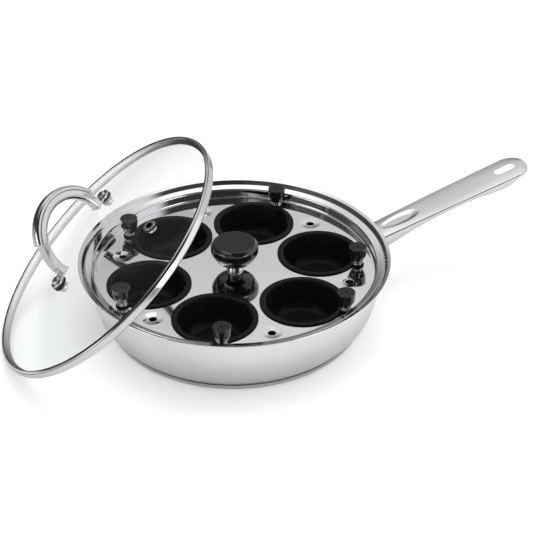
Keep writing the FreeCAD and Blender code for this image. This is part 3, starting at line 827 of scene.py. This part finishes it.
BRIGHT_STEEL = SteelFinish("bright_steel", (0.66, 0.66, 0.67), 0.07, 0.02)
TRAY_STEEL = SteelFinish("tray_steel", (0.82, 0.82, 0.83), 0.06, 0.02, depth=0.008)
PAN_STEEL = SteelFinish("pan_steel", (0.80, 0.80, 0.81), 0.22, 0.03, mirror_above=57.6, mirror_roughness=0.06)
BASE_STEEL = SteelFinish("base_steel", (0.66, 0.66, 0.67), 0.12, 0.03)
CORE_ALUMINIUM = SteelFinish("core_aluminium", (0.70, 0.70, 0.72), 0.4, 0.05)
INSERT_BRASS = SteelFinish("insert_brass", (0.71, 0.55, 0.27), 0.3, 0.05)
KNOB_PLASTIC = MouldedFinish("knob_plastic", (0.008, 0.008, 0.0085), 0.16, 0.03, shine=0.25, gloss=1.0, matte_top=0.36)
CUP_COATING = MouldedFinish("cup_coating", (0.005, 0.005, 0.0055), 0.24, 0.05, speckle=2500.0, depth=0.05, shine=0.07)
LID_STEEL = SteelFinish("lid_steel", (0.54, 0.54, 0.55), 0.08, 0.02)
SOFT_RUBBER = MouldedFinish("soft_rubber", (0.012, 0.012, 0.012), 0.55, 0.06)
CLEAR_SILICONE = MouldedFinish("clear_silicone", (0.62, 0.63, 0.64), 0.45, 0.06, fleck=1.05)
LID_GLASS = GlassFinish("lid_glass", (0.945, 0.955, 0.96), 0.0)


# Pan


@dataclass
class Pan:
    """Steel pan body with its encapsulated base."""

    sheet: float = 0.9
    edge: float = 0.3
    floor_radius: float = 117.4
    floor_z: float = 4.7
    floor_bend: float = 5.0
    belly: Corner = (127.8, 16.5, 40.0)
    wall_radius: float = 133.0
    shoulder_z: float = 40.0
    shoulder_bend: float = 90.0
    ledge_z: float = 58.0
    ledge_bend: float = 1.3
    flare: Corner = (137.4, 59.35, 1.3)
    lip_start: Corner = (140.4, 63.0, 1.3)
    lip: Pair = (143.2, 63.9)
    cap_radius: float = 117.6
    cap_sheet: float = 0.6
    cap_top: float = 4.0
    cap_bend: float = 1.6
    cap_edge: float = 0.15
    steps: int = LARGE_STEPS

    def profile(self) -> list[Corner]:
        """Corners of the outer face from the axis to the lip."""
        return [
            (0.0, self.floor_z, 0.0),
            (self.floor_radius, self.floor_z, self.floor_bend),
            self.belly,
            (self.wall_radius, self.shoulder_z, self.shoulder_bend),
            (self.wall_radius, self.ledge_z, self.ledge_bend),
            self.flare,
            self.lip_start,
            (*self.lip, 0.0),
        ]

    def build_body(self) -> Piece:
        """Spins the body's sheet and rounds its lip."""
        body = turned("pan_shell", self.profile(), steps=self.steps)
        thicken(body, self.sheet, DOWN)
        return eased(body, self.edge)

    def build_cap(self) -> Piece:
        """Spins the shallow capsule under the base."""
        corners = [(0.0, 0.0, 0.0), (self.cap_radius, 0.0, self.cap_bend), (self.cap_radius, self.cap_top, 0.0)]
        cap = turned("pan_base", corners, steps=self.steps)
        thicken(cap, self.cap_sheet, DOWN)
        return eased(cap, self.cap_edge)

    def wall_block(self) -> Piece:
        """Spins the pan's outside as a full body, for trimming what meets it."""
        outside = self.profile()[:4] + [(self.wall_radius, self.ledge_z, 0.0), (0.0, self.ledge_z, 0.0)]
        return turned("wall_block", outside, steps=self.steps)

    def dress(self, dresser: Dresser) -> None:
        """Builds and dresses the pan's pieces."""
        dresser.piece(self.build_body(), "pan_body", PAN_STEEL)
        dresser.piece(self.build_cap(), "base_cap", BASE_STEEL)
        dresser.node("base_core", CORE_ALUMINIUM)


# Pan handle


@dataclass
class PanHandle:
    """Hollow steel handle: a crowned upper shell over a boat-shaped lower one."""

    rise: float = 13.3
    root: Place = (135.0, 0.0, 51.0)
    length: float = 179.3
    root_half: float = 14.3
    tip_half: float = 17.7
    insert: float = 8.0
    seam_depth: float = 5.0
    seam_rise: float = 2.4
    seam_middle: float = 92.0
    seam_gap: float = 0.05
    crown: float = 1.3
    edge_round: float = 1.9
    shell_edge: float = 0.25
    shell_places: tuple[float, ...] = tuple(20.0 * i for i in range(8))
    tip_angles: tuple[float, ...] = (12.0, 24.0, 35.0, 45.0, 54.0, 62.0, 69.0, 75.0, 80.0, 84.0, 87.0)
    hull_edge: float = 0.2
    hull_inset: float = 1.0
    hull_fullness: float = 3.0
    hull_sheet: float = 1.2
    hull_lowest: tuple[Pair, ...] = (
        (-10.0, 23.3), (0.0, 21.6), (10.0, 20.1), (20.0, 18.1), (29.0, 16.2), (38.0, 14.3), (47.0, 12.6), (56.0, 11.3),
        (65.0, 10.2), (74.0, 9.4), (92.0, 8.65), (109.0, 9.4), (116.0, 10.2), (122.0, 11.2), (130.0, 12.7),
        (136.0, 13.6), (141.0, 14.2), (146.0, 14.6), (151.0, 14.9), (156.0, 15.0), (162.0, 15.0), (168.0, 15.0))
    hull_end: tuple[Pair, Pair] = ((141.0, -13.6), (163.5, -4.9))
    slot_centre: float = 156.3
    slot_half: float = 6.4
    slot_radius: float = 4.5
    slot_sheet: float = 0.9
    slot_room: float = 8.0
    dimple_middle: float = 36.5
    dimple_floor: Pair = (15.5, 4.2)
    dimple_depth: float = 1.35
    dimple_slope: float = 15.0
    dimple_slant: float = 1.5
    crisp_angle: float = 14.0

    def space(self) -> Matrix:
        """From the level drawing of the handle to its place on the pan."""
        return at(*self.root) @ turn(-self.rise, "Y")

    def half_width(self, x: float) -> float:
        """Half the handle's width at a distance along it."""
        centre = self.length - self.tip_half
        if x > centre:
            return math.sqrt(self.tip_half ** 2 - (x - centre) ** 2)
        return self.root_half + (self.tip_half - self.root_half) * max(x, 0.0) / centre

    def seam(self, x: float) -> float:
        """Depth of the seam under the top, least in the middle of the handle."""
        away = min(1.0, abs(x - self.seam_middle) / self.seam_middle)
        return self.seam_depth - self.seam_rise * (1 - away ** 2)

    def shell_section(self) -> list[Vector]:
        """Closed section of the upper shell at the root, crowned with rounded edges."""
        edge = self.root_half - self.edge_round
        turn_over = arc(self.edge_round, 0.0, 90.0, 90 // ARC_STEP, edge)
        shares = [1 - i / 6 for i in range(1, 6)]
        half = [(self.root_half, -self.seam(-self.insert))]
        half += [(y, z - self.edge_round - self.crown) for y, z in turn_over]
        half += [(edge * share, -self.crown * share ** 2) for share in shares]
        whole = half + [(0.0, 0.0)] + [(-y, z) for y, z in reversed(half)]
        return [Vector((-self.insert, y, z)) * MM for y, z in whole]

    def shell_stations(self) -> list[Station]:
        """Sections of the upper shell from root to tip, rounded over at the tip."""
        centre = self.length - self.tip_half
        places = [-self.insert, *self.shell_places, centre]
        stations = [Station(x, self.half_width(x), self.seam(x), 0.0) for x in places]
        for degrees in self.tip_angles:
            angle = math.radians(degrees)
            x = centre + self.tip_half * math.sin(angle)
            past = max(0.0, x - (self.length - self.edge_round)) / self.edge_round
            drop = self.crown * (1 - math.cos(angle)) + self.edge_round * (1 - math.sqrt(1 - past ** 2))
            stations.append(Station(x, self.tip_half * math.cos(angle), self.seam(x) - drop, -drop))
        return stations

    def slot_plug(self, grow: float, low: float, high: float) -> Piece:
        """Plug of the hang slot's shape.

        Args:
            grow: How much larger it is all round.
            low: Its lower end.
            high: Its upper end.

        Returns:
            The plug.
        """
        radius = self.slot_radius + grow
        outline = arc(radius, -90.0, 90.0, 16, self.slot_centre + self.slot_half)
        outline += arc(radius, 90.0, 270.0, 16, self.slot_centre - self.slot_half)
        return slab("slot_plug", outline, low, high)

    def dimple_plug(self) -> Piece:
        """Slanted oval with sloping sides that presses the thumb dimple."""
        long, wide = self.dimple_floor
        high = self.seam_depth
        plug = slab("dimple_plug", [(long * x, wide * y) for x, y in arc(1.0, 0.0, 360.0, 64)[:-1]], 0.0, high)
        spread = high / math.tan(math.radians(self.dimple_slope))
        with editing(plug) as mesh:
            for vertex in mesh.verts:
                vertex.select_set(vertex.co.z > high * MM / 2)
            mesh.select_flush_mode()
            bpy.ops.transform.resize(value=(1 + spread / long, 1 + spread / wide, 1.0),
                                     center_override=(0.0, 0.0, high * MM))
        return placed(plug, at(self.dimple_middle, 0.0, -self.dimple_depth) @ turn(self.dimple_slant, "Y"))

    def build_shell(self, wall: Piece) -> Piece:
        """Draws the upper shell from section to section and cuts its dimple and slot.

        Args:
            wall: The pan's outside, which trims the root.

        Returns:
            The upper shell, in its place.
        """
        shell = lofted("handle_upper", self.shell_section(), self.shell_stations(), closed=True)
        carve(shell, self.dimple_plug())
        carve(shell, self.slot_plug(self.slot_room, -2 * self.seam_depth, -self.slot_sheet))
        carve(shell, self.slot_plug(0.0, -2 * self.seam_depth, self.seam_depth))
        carve(placed(shell, self.space()), wall)
        return eased(shell, self.shell_edge, 3, self.crisp_angle)

    def build_hull(self, wall: Piece) -> Piece:
        """Draws the lower shell from section to section, cuts its end at a slant and gives the sheet its thickness.

        Args:
            wall: The pan's outside, which trims the root.

        Returns:
            The lower shell, in its place.
        """
        stations = []
        for x, lowest in self.hull_lowest:
            top = -self.seam(x) - self.seam_gap
            stations.append(Station(x, self.half_width(x) - self.hull_inset, lowest + top, top))
        first = stations[0]
        section = [Vector((first.x, first.half_width * y, first.top - first.depth * z)) * MM
                   for y, z in oval(self.hull_fullness)]
        hull = lofted("handle_lower", section, stations, closed=False)
        (x, z), (far_x, far_z) = self.hull_end
        across = Vector((far_z - z, 0.0, x - far_x)).normalized()
        with editing(hull):
            bpy.ops.mesh.bisect(plane_co=Vector((x, 0.0, z)) * MM, plane_no=across, clear_outer=True)
        thicken(hull, self.hull_sheet, DOWN)
        carve(placed(hull, self.space()), wall)
        return eased(hull, self.hull_edge)

    def dress(self, dresser: Dresser, pan: Pan) -> None:
        """Builds and dresses the handle's shells.

        Args:
            dresser: Puts on the finishes.
            pan: The pan whose wall trims the handle.
        """
        finish = SteelFinish("handle_steel", (0.72, 0.72, 0.73), 0.18, 0.03, Grain.STRAIGHT, depth=0.004,
                             space=self.space())
        dresser.piece(self.build_shell(pan.wall_block()), "handle_top_shell", finish)
        dresser.piece(self.build_hull(pan.wall_block()), "handle_bottom_shell", finish)
        dresser.node("handle_bracket", BRIGHT_STEEL)


# Poaching tray


def cup_angle(index: int) -> float:
    """Angle of a cup round the tray, in degrees."""
    return FIRST_CUP_ANGLE - 360.0 / CUP_COUNT * index


def around(distance: float, angle: float) -> Matrix:
    """Shift to a distance from the Z axis at an angle in degrees."""
    turned_by = math.radians(angle)
    return at(distance * math.cos(turned_by), distance * math.sin(turned_by), 0.0)


@dataclass
class PoachTray:
    """Polished dish with cup holes, steam vents and a ball knob."""

    sheet: float = 0.8
    edge: float = 0.2
    under_z: float = 49.2
    floor_edge: float = 122.0
    wall: Corner = (130.6, 49.2, 2.4)
    shoulder: Corner = (130.6, 58.52, 1.0)
    flange: Corner = (136.2, 60.24, 0.0)
    cup_hole: float = 35.2
    screw_hole: float = 2.7
    vent_pitch: float = 107.0
    vent_offset: float = -30.0
    vent: tuple[Corner, ...] = ((3.6, 0.6, 0.0), (4.8, 0.6, 8.0), (9.5, 0.0, 8.0), (11.0, 0.0, 0.0))
    knob_profile: tuple[Corner, ...] = (
        (0.0, 71.0, 0.0), (4.25, 71.0, 0.0), (4.25, 57.4, 0.0), (8.2, 57.4, 0.4), (17.0, 60.0, 10.0), (22.0, 68.8, 8.0),
        (22.0, 76.4, 6.0), (18.6, 79.2, 2.0), (0.0, 79.2, 0.0))
    collar_profile: tuple[Corner, ...] = ((2.7, 50.05, 0.0), (7.9, 50.05, 0.8), (7.1, 57.35, 0.8), (2.7, 57.35, 0.0))

    def build_dish(self) -> Piece:
        """Spins wall and vents, draws the holes, fills the floor between them and gives the sheet its thickness."""
        low = self.under_z
        profile = [(self.floor_edge, low, 0.0), self.wall, self.shoulder, self.flange]
        wall = turned("tray_dish", profile, steps=LARGE_STEPS)
        vent = turned("tray_vent", [(radius, low - drop, bend) for radius, drop, bend in self.vent], steps=48)
        hole = ring("tray_hole", self.cup_hole, low, steps=96)
        pieces = [wall, ring("tray_screw_hole", self.screw_hole, low, steps=32)]
        for i in range(CUP_COUNT):
            pieces.append(copied(vent, f"vent_{i}", around(self.vent_pitch, cup_angle(i) + self.vent_offset)))
            pieces.append(copied(hole, f"hole_{i}", around(CUP_PITCH, cup_angle(i))))
        for spare in (vent, hole):
            bpy.data.objects.remove(spare)
        dish = joined("tray_dish", pieces)
        fill_level(dish, low)
        thicken(dish, self.sheet, DOWN)
        return eased(dish, self.edge)

    def dress(self, dresser: Dresser) -> None:
        """Builds and dresses the tray with its knob."""
        dresser.piece(self.build_dish(), "tray", TRAY_STEEL)
        dresser.piece(smooth(turned("tray_knob_ball", self.knob_profile)), "tray_knob", KNOB_PLASTIC)
        collar = smooth(turned("tray_knob_collar", self.collar_profile, closed=True))
        dresser.piece(collar, "knob_collar", BRIGHT_STEEL)
        dresser.node("knob_insert", INSERT_BRASS)
        dresser.node("tray_washer", BRIGHT_STEEL)
        dresser.node("tray_screw", BRIGHT_STEEL)


# Cups


@dataclass
class EggCups:
    """Six coated cups, each with a knob on its ear."""

    sheet: float = 1.0
    edge: float = 0.35
    flange_z: float = 50.3
    flange_radius: float = 38.6
    ear_pitch: float = 40.5
    ear_radius: float = 6.0
    turns: tuple[float, ...] = (-22.0, -47.0, 21.5, 22.0, 40.0, 36.0)
    bowl: tuple[Corner, ...] = ((0.0, 25.0, 0.0), (26.0, 25.0, 10.0), (34.0, 50.3, 1.3), (35.6, 50.3, 0.0))
    ferrule: tuple[Corner, ...] = (
        (1.65, 0.0, 0.0), (4.8, 0.0, 0.6), (4.8, 1.75, 0.6), (4.0, 1.75, 0.0), (4.0, 2.25, 0.0), (4.8, 2.25, 0.6),
        (4.8, 4.0, 0.6), (1.65, 4.0, 0.0))
    ferrule_z: float = 51.35
    knob: tuple[Corner, ...] = (
        (1.65, 0.0, 0.0), (5.3, 0.0, 0.6), (7.9, 5.8, 5.0), (8.4, 14.5, 1.0), (1.1, 14.5, 0.2), (1.1, 11.0, 0.0),
        (1.65, 11.0, 0.0))
    knob_z: float = 55.4

    def outline(self) -> list[Vector]:
        """Outer edge of the flange, round the cup and out round the ear."""
        start = math.degrees(math.asin(self.ear_radius / self.flange_radius))
        points = arc(self.flange_radius, start, 360.0 - start, 96)
        points += arc(self.ear_radius, -90.0, 90.0, 24, self.ear_pitch)
        return [Vector((x, y, self.flange_z)) * MM for x, y in points]

    def build_cup(self) -> Piece:
        """Spins the bowl, draws the flange round it, fills between and gives the sheet its thickness."""
        bowl = turned("cup_bowl", self.bowl, steps=112)
        cup = joined("cup_bowl", [bowl, drawn("cup_flange", self.outline(), closed=True)])
        fill_level(cup, self.flange_z)
        thicken(cup, self.sheet, DOWN)
        return eased(cup, self.edge, 3)

    def on_ear(self, name: str, profile: Sequence[Corner], z: float) -> Piece:
        """Spins a closed profile and sets it on the ear, its foot at a height."""
        return placed(smooth(turned(name, profile, closed=True, steps=64)), at(self.ear_pitch, 0.0, z))

    def dress(self, dresser: Dresser) -> None:
        """Builds each kind of piece once and dresses a copy of it at every cup."""
        kinds = {
            "cup": (self.build_cup(), CUP_COATING),
            "cup_ferrule": (self.on_ear("ferrule", self.ferrule, self.ferrule_z), BRIGHT_STEEL),
            "cup_knob": (self.on_ear("knob", self.knob, self.knob_z), KNOB_PLASTIC),
        }
        for i, spin in enumerate(self.turns):
            place = around(CUP_PITCH, cup_angle(i)) @ turn(cup_angle(i) + spin, "Z")
            for node, (piece, finish) in kinds.items():
                dresser.piece(copied(piece, f"{piece.name}_{i + 1}", place), f"{node}_{i + 1}", finish)
            dresser.node(f"cup_stud_{i + 1}", BRIGHT_STEEL)
        for piece, finish in kinds.values():
            bpy.data.objects.remove(piece)


# Lid


@dataclass
class GlassLid:
    """Domed glass with a rolled rim and a steam vent, leaning by the pan."""

    radius: float = 130.2
    tilt: float = 41.87
    lean_angle: float = 162.26
    spin: float = 51.7
    centre: Pair = (-117.5, 13.8)
    floor_gap: float = 0.4
    glass_radius: float = 129.4
    apex: float = 31.6
    sphere: float = 352.0
    glass_sheet: float = 4.0
    boss_places: Pair = (-44.2, 50.2)
    boss_hole: float = 3.6
    vent_distance: float = 88.0
    vent_hole: float = 4.2
    rim: tuple[Corner, ...] = ((123.6, 0.0, 0.0), (130.2, 0.0, 2.2), (130.2, 7.5, 2.6), (126.9, 8.6, 0.0))
    rim_sheet: float = 0.6
    rim_edge: float = 0.15
    # Painted shade and painted reflection on the rim: dark lines at the flange's inner edge, at the lip and on the
    # inner wall, and a mid-grey band that stands in for a reflection.
    rim_painted_shade: tuple[PaintedShadeLine, ...] = (
        PaintedShadeLine(120.0, 125.4, 0.03), PaintedShadeLine(125.6, 126.4, 0.4, 0.2), PaintedShadeLine(126.5, 127.8, 0.08),
        PaintedShadeLine(129.2, 129.95, 0.4, 0.1))
    # Painted shade: the vent's bore is darkened to read as a hole in shadow.
    eyelet_painted_shade: tuple[PaintedShadeLine, ...] = (PaintedShadeLine(0.0, 3.0, 0.02),)
    eyelet: tuple[Corner, ...] = (
        (2.6, 26.65, 0.0), (4.5, 26.65, 0.35), (4.5, 27.55, 0.35), (3.4, 27.55, 0.0), (3.4, 32.7, 0.0),
        (5.4, 32.7, 0.35), (5.4, 33.6, 0.35), (2.6, 33.6, 0.35))

    def space(self) -> Matrix:
        """From the level drawing of the lid to its place by the pan."""
        lift = self.radius * math.sin(math.radians(self.tilt)) + self.floor_gap
        return at(*self.centre, lift) @ turn(self.lean_angle, "Z") @ turn(self.tilt, "Y") @ turn(self.spin, "Z")

    def vent_space(self) -> Matrix:
        """From a piece drawn on the apex to the vent's place on the dome."""
        lean = math.degrees(math.asin(self.vent_distance / self.sphere))
        drop = self.apex - self.sphere
        return at(0.0, 0.0, drop) @ turn(-lean, "X") @ at(0.0, 0.0, -drop)

    def face_z(self, sphere: float, radius: float) -> float:
        """Height of a face of the glass at a radius."""
        return self.apex - self.sphere + math.sqrt(sphere ** 2 - radius ** 2)

    def build_glass(self) -> Piece:
        """Spins the dome and drills it."""
        rings = [self.glass_radius * i / 36 for i in range(37)]
        outer = [(r, self.face_z(self.sphere, r), 0.0) for r in rings]
        inner = [(r, self.face_z(self.sphere - self.glass_sheet, r), 0.0) for r in reversed(rings)]
        glass = turned("lid_dome", outer + inner, steps=160)
        for x in self.boss_places:
            drill = rod("drill", self.boss_hole, 0.0, self.apex + self.glass_sheet / 2, steps=48)
            carve(glass, placed(drill, at(x, 0.0, 0.0)))
        low, high = self.apex - 2 * self.glass_sheet, self.apex + self.glass_sheet
        drill = rod("drill", self.vent_hole, low, high, steps=48)
        carve(glass, placed(drill, self.vent_space()))
        return placed(smooth(glass), self.space())

    def build_rim(self) -> Piece:
        """Spins the rolled rim."""
        rim = turned("lid_band", self.rim, steps=LARGE_STEPS)
        thicken(rim, self.rim_sheet, DOWN)
        return placed(eased(rim, self.rim_edge), self.space())

    def build_eyelet(self) -> Piece:
        """Spins the steam vent's flanged tube."""
        eyelet = smooth(turned("lid_eyelet", self.eyelet, closed=True, steps=64))
        return placed(eyelet, self.space() @ self.vent_space())

    def dress(self, dresser: Dresser) -> None:
        """Builds and dresses the lid without its handle."""
        dresser.piece(self.build_glass(), "lid_glass", LID_GLASS)
        # The rim's and the eyelet's finishes carry painted shade lines in their colour.
        rim_steel = SteelFinish("rim_steel", (0.70, 0.70, 0.71), 0.07, 0.02, space=self.space(),
                                painted_shade_lines=self.rim_painted_shade)
        dresser.piece(self.build_rim(), "lid_rim", rim_steel)
        vent_space = self.space() @ self.vent_space()
        eyelet_steel = replace(BRIGHT_STEEL, name="eyelet_steel", space=vent_space, painted_shade_lines=self.eyelet_painted_shade)
        dresser.piece(self.build_eyelet(), "vent_eyelet", eyelet_steel)
        dresser.node("vent_gasket", SOFT_RUBBER)


@dataclass
class LidHandle:
    """Arched strap with two feet, a rounded grip over it, and its screws."""

    offset: float = 3.0
    arch_z: float = 36.2
    overrun: float = 7.6
    strap_inner: float = 31.8
    strap_outer: float = 39.8
    strap_half: float = 5.0
    strap_round: float = 3.6
    strap_edge: float = 0.8
    grip_side: float = 41.4
    grip_outer: float = 44.4
    grip_half: float = 5.0
    grip_fullness: float = 2.5
    grip_gap: float = 0.05
    grip_edge: float = 0.5
    grip_near: float = 50.0
    grip_far: float = 78.0
    foot_z: float = 30.7
    foot_sheet: float = 2.0
    foot_edge: float = 0.4
    foot_radius: float = 6.8
    foot_start: float = 32.0
    boss: float = 47.2
    bore: float = 2.6
    screw: tuple[Corner, ...] = (
        (0.0, 19.2, 0.0), (2.4, 19.2, 0.3), (2.4, 32.75, 0.0), (4.3, 32.75, 0.0), (4.3, 35.05, 1.2), (0.0, 35.05, 0.0))
    screw_edge: float = 0.08
    cross: Triple = (5.0, 1.2, 1.2)

    def build_strap(self) -> Piece:
        """Sweeps the strap's rounded section along the arch and joins a drilled foot to each end."""
        half, inner, outer = self.strap_half, self.strap_inner, self.strap_outer
        section = [(inner, -half, self.strap_round), (outer, -half, self.strap_edge), (outer, half, self.strap_edge),
                   (inner, half, self.strap_round)]
        strap = self.swept("lid_strap_arch", rounded(section, closed=True), 90 + self.overrun, 90 + self.overrun)
        swing = 180.0 - math.degrees(math.asin(half / self.foot_radius))
        outline = [(self.foot_start, half), (self.foot_start, -half)]
        outline += arc(self.foot_radius, -swing, swing, 32, self.boss)
        low, high = self.foot_z, self.foot_z + self.foot_sheet
        for side in (1, -1):
            foot = slab("foot", [(side * x, side * y) for x, y in outline], low, high)
            soften(foot, self.foot_edge, 3)
            carve(strap, foot, "UNION")
            drill = rod("drill", self.bore, low - self.foot_sheet, high + self.foot_sheet, steps=32)
            carve(strap, placed(drill, at(side * self.boss, 0.0, 0.0)))
        return smooth(strap)

    def swept(self, name: str, section: Sequence[Vector], near: float, far: float) -> Piece:
        """Spins a closed section along the arch.

        Args:
            name: The new object's name.
            section: Radius and offset of its points, as X and Z in metres.
            near: How far it goes from the top towards the near foot, in degrees.
            far: How far it goes towards the far foot.

        Returns:
            The new object.
        """
        start = math.radians(90 - near)
        top = self.arch_z * MM
        points = [Vector((p.x * math.cos(start), p.z, top + p.x * math.sin(start))) for p in section]
        piece = drawn(name, points, closed=True)
        with editing(piece):
            bpy.ops.mesh.edge_face_add()
            bpy.ops.mesh.spin(steps=72, angle=math.radians(near + far), axis=(0.0, 1.0, 0.0), center=(0.0, 0.0, top))
            weld()
            face_out()
        return piece

    def build_grip(self) -> Piece:
        """Sweeps the grip's crowned section along the arch and rounds its edges."""
        base = self.strap_outer + self.grip_gap
        rise = self.grip_outer - self.grip_side
        crown = [(self.grip_side + rise * up, -self.grip_half * across) for across, up in oval(self.grip_fullness)]
        section = [(base, -self.grip_half), *crown, (base, self.grip_half)]
        points = [Vector((radius, 0.0, y)) * MM for radius, y in section]
        return eased(self.swept("lid_grip_bow", points, self.grip_near, self.grip_far), self.grip_edge, 3)

    def build_screw(self) -> Piece:
        """Spins a screw and cuts the cross in its head."""
        screw = turned("lid_handle_screw", self.screw, steps=48)
        top = self.screw[-1][1]
        long, wide, deep = self.cross
        for x, y in ((long / 2, wide / 2), (wide / 2, long / 2)):
            carve(screw, slab("cross", [(x, y), (-x, y), (-x, -y), (x, -y)], top - deep, top + deep))
        return eased(screw, self.screw_edge)

    def dress(self, dresser: Dresser, lid: GlassLid) -> None:
        """Builds and dresses the handle and its fixings.

        Args:
            dresser: Puts on the finishes.
            lid: The lid it stands on.
        """
        space = lid.space() @ at(self.offset, 0.0, 0.0)
        dresser.piece(placed(self.build_strap(), space), "lid_strap", LID_STEEL)
        dresser.piece(placed(self.build_grip(), space), "lid_grip", LID_STEEL)
        fixings = {"gasket": SOFT_RUBBER, "seal": CLEAR_SILICONE, "washer": BRIGHT_STEEL, "nut": BRIGHT_STEEL}
        screw = self.build_screw()
        for number, side in ((1, -1), (2, 1)):
            place = space @ at(side * self.boss, 0.0, 0.0)
            dresser.piece(copied(screw, f"lid_handle_screw_{number}", place), f"lid_screw_{number}", BRIGHT_STEEL)
            for node, finish in fixings.items():
                dresser.node(f"lid_{node}_{number}", finish)
        bpy.data.objects.remove(screw)


# Studio


@dataclass(frozen=True)
class Panel:
    """A soft-edged panel of the surroundings, as the steel reflects it.

    Angles are degrees: azimuth from the front towards the right, elevation from level.
    """

    name: str
    azimuth: float
    elevation: float
    inner: float
    outer: float
    brightness: float

    def way(self) -> Vector:
        """Direction from the pan to the panel's middle."""
        across, up = math.radians(self.azimuth), math.radians(self.elevation)
        return Vector((math.sin(across) * math.cos(up), -math.cos(across) * math.cos(up), math.sin(up)))


@dataclass
class Studio:
    """Floor, surroundings, lamp and camera."""

    floor_size: float = 12.0
    floor_z: float = -0.2
    floor_colour: float = 0.9
    floor_far_colour: float = 0.4
    floor_fade: Pair = (0.5, 1.4)
    floor_glow: float = 0.28
    glass_glow: float = 0.17
    room: float = 0.78
    lens: float = 104.23
    camera_place: Place = (-0.46826, -1.09884, 0.82829)
    camera_heading: float = -24.47
    camera_pitch: float = 56.978
    camera_roll: float = -0.313
    aim: Place = (0.0, 0.0, 0.05)
    lamp_place: Place = (0.1, -0.2, 2.5)
    lamp_size: float = 4.2
    lamp_watts: float = 62.0
    panels: tuple[Panel, ...] = (
        Panel("far_wall", 166.0, 2.0, 16.0, 36.0, 0.2),
        Panel("dark_back", -160.0, 4.0, 12.0, 22.0, 0.06),
        Panel("top_softbox", 158.0, 72.0, 8.0, 26.0, 1.45),
        Panel("dark_ceiling", -23.0, 62.0, 24.0, 34.0, 0.015),
        Panel("dark_room", 2.0, 43.0, 26.0, 38.0, 0.03),
        Panel("dark_corner", -160.0, 30.0, 8.0, 16.0, 0.2),
        Panel("dark_upper", -128.0, 36.0, 12.0, 22.0, 0.2),
        Panel("dark_side", -65.0, 42.0, 16.0, 28.0, 0.06),
        Panel("dark_left", -97.0, 36.0, 14.0, 24.0, 0.1),
        Panel("dark_low", -120.0, 24.0, 11.0, 20.0, 0.07),
        Panel("dark_gap", -142.0, 11.0, 9.0, 20.0, 0.05),
        Panel("right_softbox", 56.0, 12.0, 14.0, 28.0, 1.2),
        Panel("right_lamp", 26.0, 6.0, 6.0, 14.0, 4.0),
        Panel("left_softbox", -86.0, 9.0, 11.0, 20.0, 2.8),
    )

    def build_floor(self) -> None:
        """Lays a pale floor that keeps soft shadows and reads as white, and greys away from the pan in reflections."""
        bpy.ops.object.select_all(action="DESELECT")
        bpy.ops.mesh.primitive_plane_add(size=self.floor_size, location=(0.0, 0.0, self.floor_z * MM))
        floor = bpy.context.object
        floor.name = "floor"
        material, tree, shader = principled("floor_white")
        path = tree.add("LightPath")
        away = tree.add("VectorMath", {0: tree.add("TexCoord").outputs["Object"]}, operation="LENGTH").outputs["Value"]
        graded = tree.remap(away, *self.floor_fade, self.floor_colour, self.floor_far_colour)
        tone = tree.mix(path.outputs["Is Glossy Ray"], self.floor_colour, graded)
        tree.feed(shader, {"Base Color": tree.grey(tone), "Roughness": 0.9, "Specular IOR Level": 0.0})
        direct = tree.math("MULTIPLY", path.outputs["Is Camera Ray"], self.floor_glow)
        behind = tree.math("MULTIPLY", path.outputs["Is Transmission Ray"], self.glass_glow)
        glow = tree.add("Emission", {"Color": (1.0, 1.0, 1.0, 1.0), "Strength": tree.math("MAXIMUM", direct, behind)})
        tree.surface(tree.add("AddShader", {0: shader.outputs[0], 1: glow.outputs[0]}))
        floor.data.materials.append(material)

    def build_world(self) -> None:
        """Surrounds the pan with an even room, soft panels and a dark ceiling over the camera."""
        world = bpy.data.worlds.new("studio")
        bpy.context.scene.world = world
        world.use_nodes = True
        tree = Tree(world.node_tree)
        tree.tree.nodes.clear()
        way = tree.add("TexCoord").outputs["Generated"]
        light: object = self.room
        for panel in self.panels:
            facing = tree.add("VectorMath", {0: way, 1: panel.way()}, operation="DOT_PRODUCT").outputs["Value"]
            outer, inner = (math.cos(math.radians(angle)) for angle in (panel.outer, panel.inner))
            light = tree.mix(tree.remap(facing, outer, inner, 0.0, 1.0), light, panel.brightness)
            LOG.info("panel %s: brightness %.3f", panel.name, panel.brightness)
        back = tree.add("Background", {"Color": tree.grey(light), "Strength": 1.0})
        tree.add("OutputWorld", {"Surface": back.outputs[0]})

    def build_lamp(self) -> None:
        """Hangs a soft area lamp over the pan."""
        data = bpy.data.lights.new("overhead_softbox", "AREA")
        data.shape = "RECTANGLE"
        data.size = data.size_y = self.lamp_size
        data.energy = self.lamp_watts
        lamp = bpy.data.objects.new("overhead_softbox", data)
        lamp.location = self.lamp_place
        aim = Vector(self.aim) - lamp.location
        lamp.rotation_euler = aim.to_track_quat("-Z", "Y").to_euler()
        lamp.visible_glossy = False
        bpy.context.scene.collection.objects.link(lamp)

    def build_camera(self) -> None:
        """Sets the camera where the picture was taken from."""
        data = bpy.data.cameras.new("camera")
        data.lens = self.lens
        camera = bpy.data.objects.new("camera", data)
        camera.matrix_world = (Matrix.Translation(self.camera_place) @ turn(self.camera_heading, "Z")
                               @ turn(self.camera_pitch, "X") @ turn(self.camera_roll, "Z"))
        bpy.context.scene.collection.objects.link(camera)
        bpy.context.scene.camera = camera

    def build(self) -> None:
        """Builds the whole studio."""
        self.build_floor()
        self.build_world()
        self.build_lamp()
        self.build_camera()
        bpy.context.scene.view_settings.view_transform = "Standard"


def main() -> None:
    """Builds and dresses every sub-assembly, then the studio."""
    logging.basicConfig(level=logging.INFO, format="%(name)s: %(message)s")
    dresser = Dresser()
    pan = Pan()
    pan.dress(dresser)
    PanHandle().dress(dresser, pan)
    PoachTray().dress(dresser)
    EggCups().dress(dresser)
    lid = GlassLid()
    lid.dress(dresser)
    LidHandle().dress(dresser, lid)
    Studio().build()


if __name__ == "__main__":
    main()
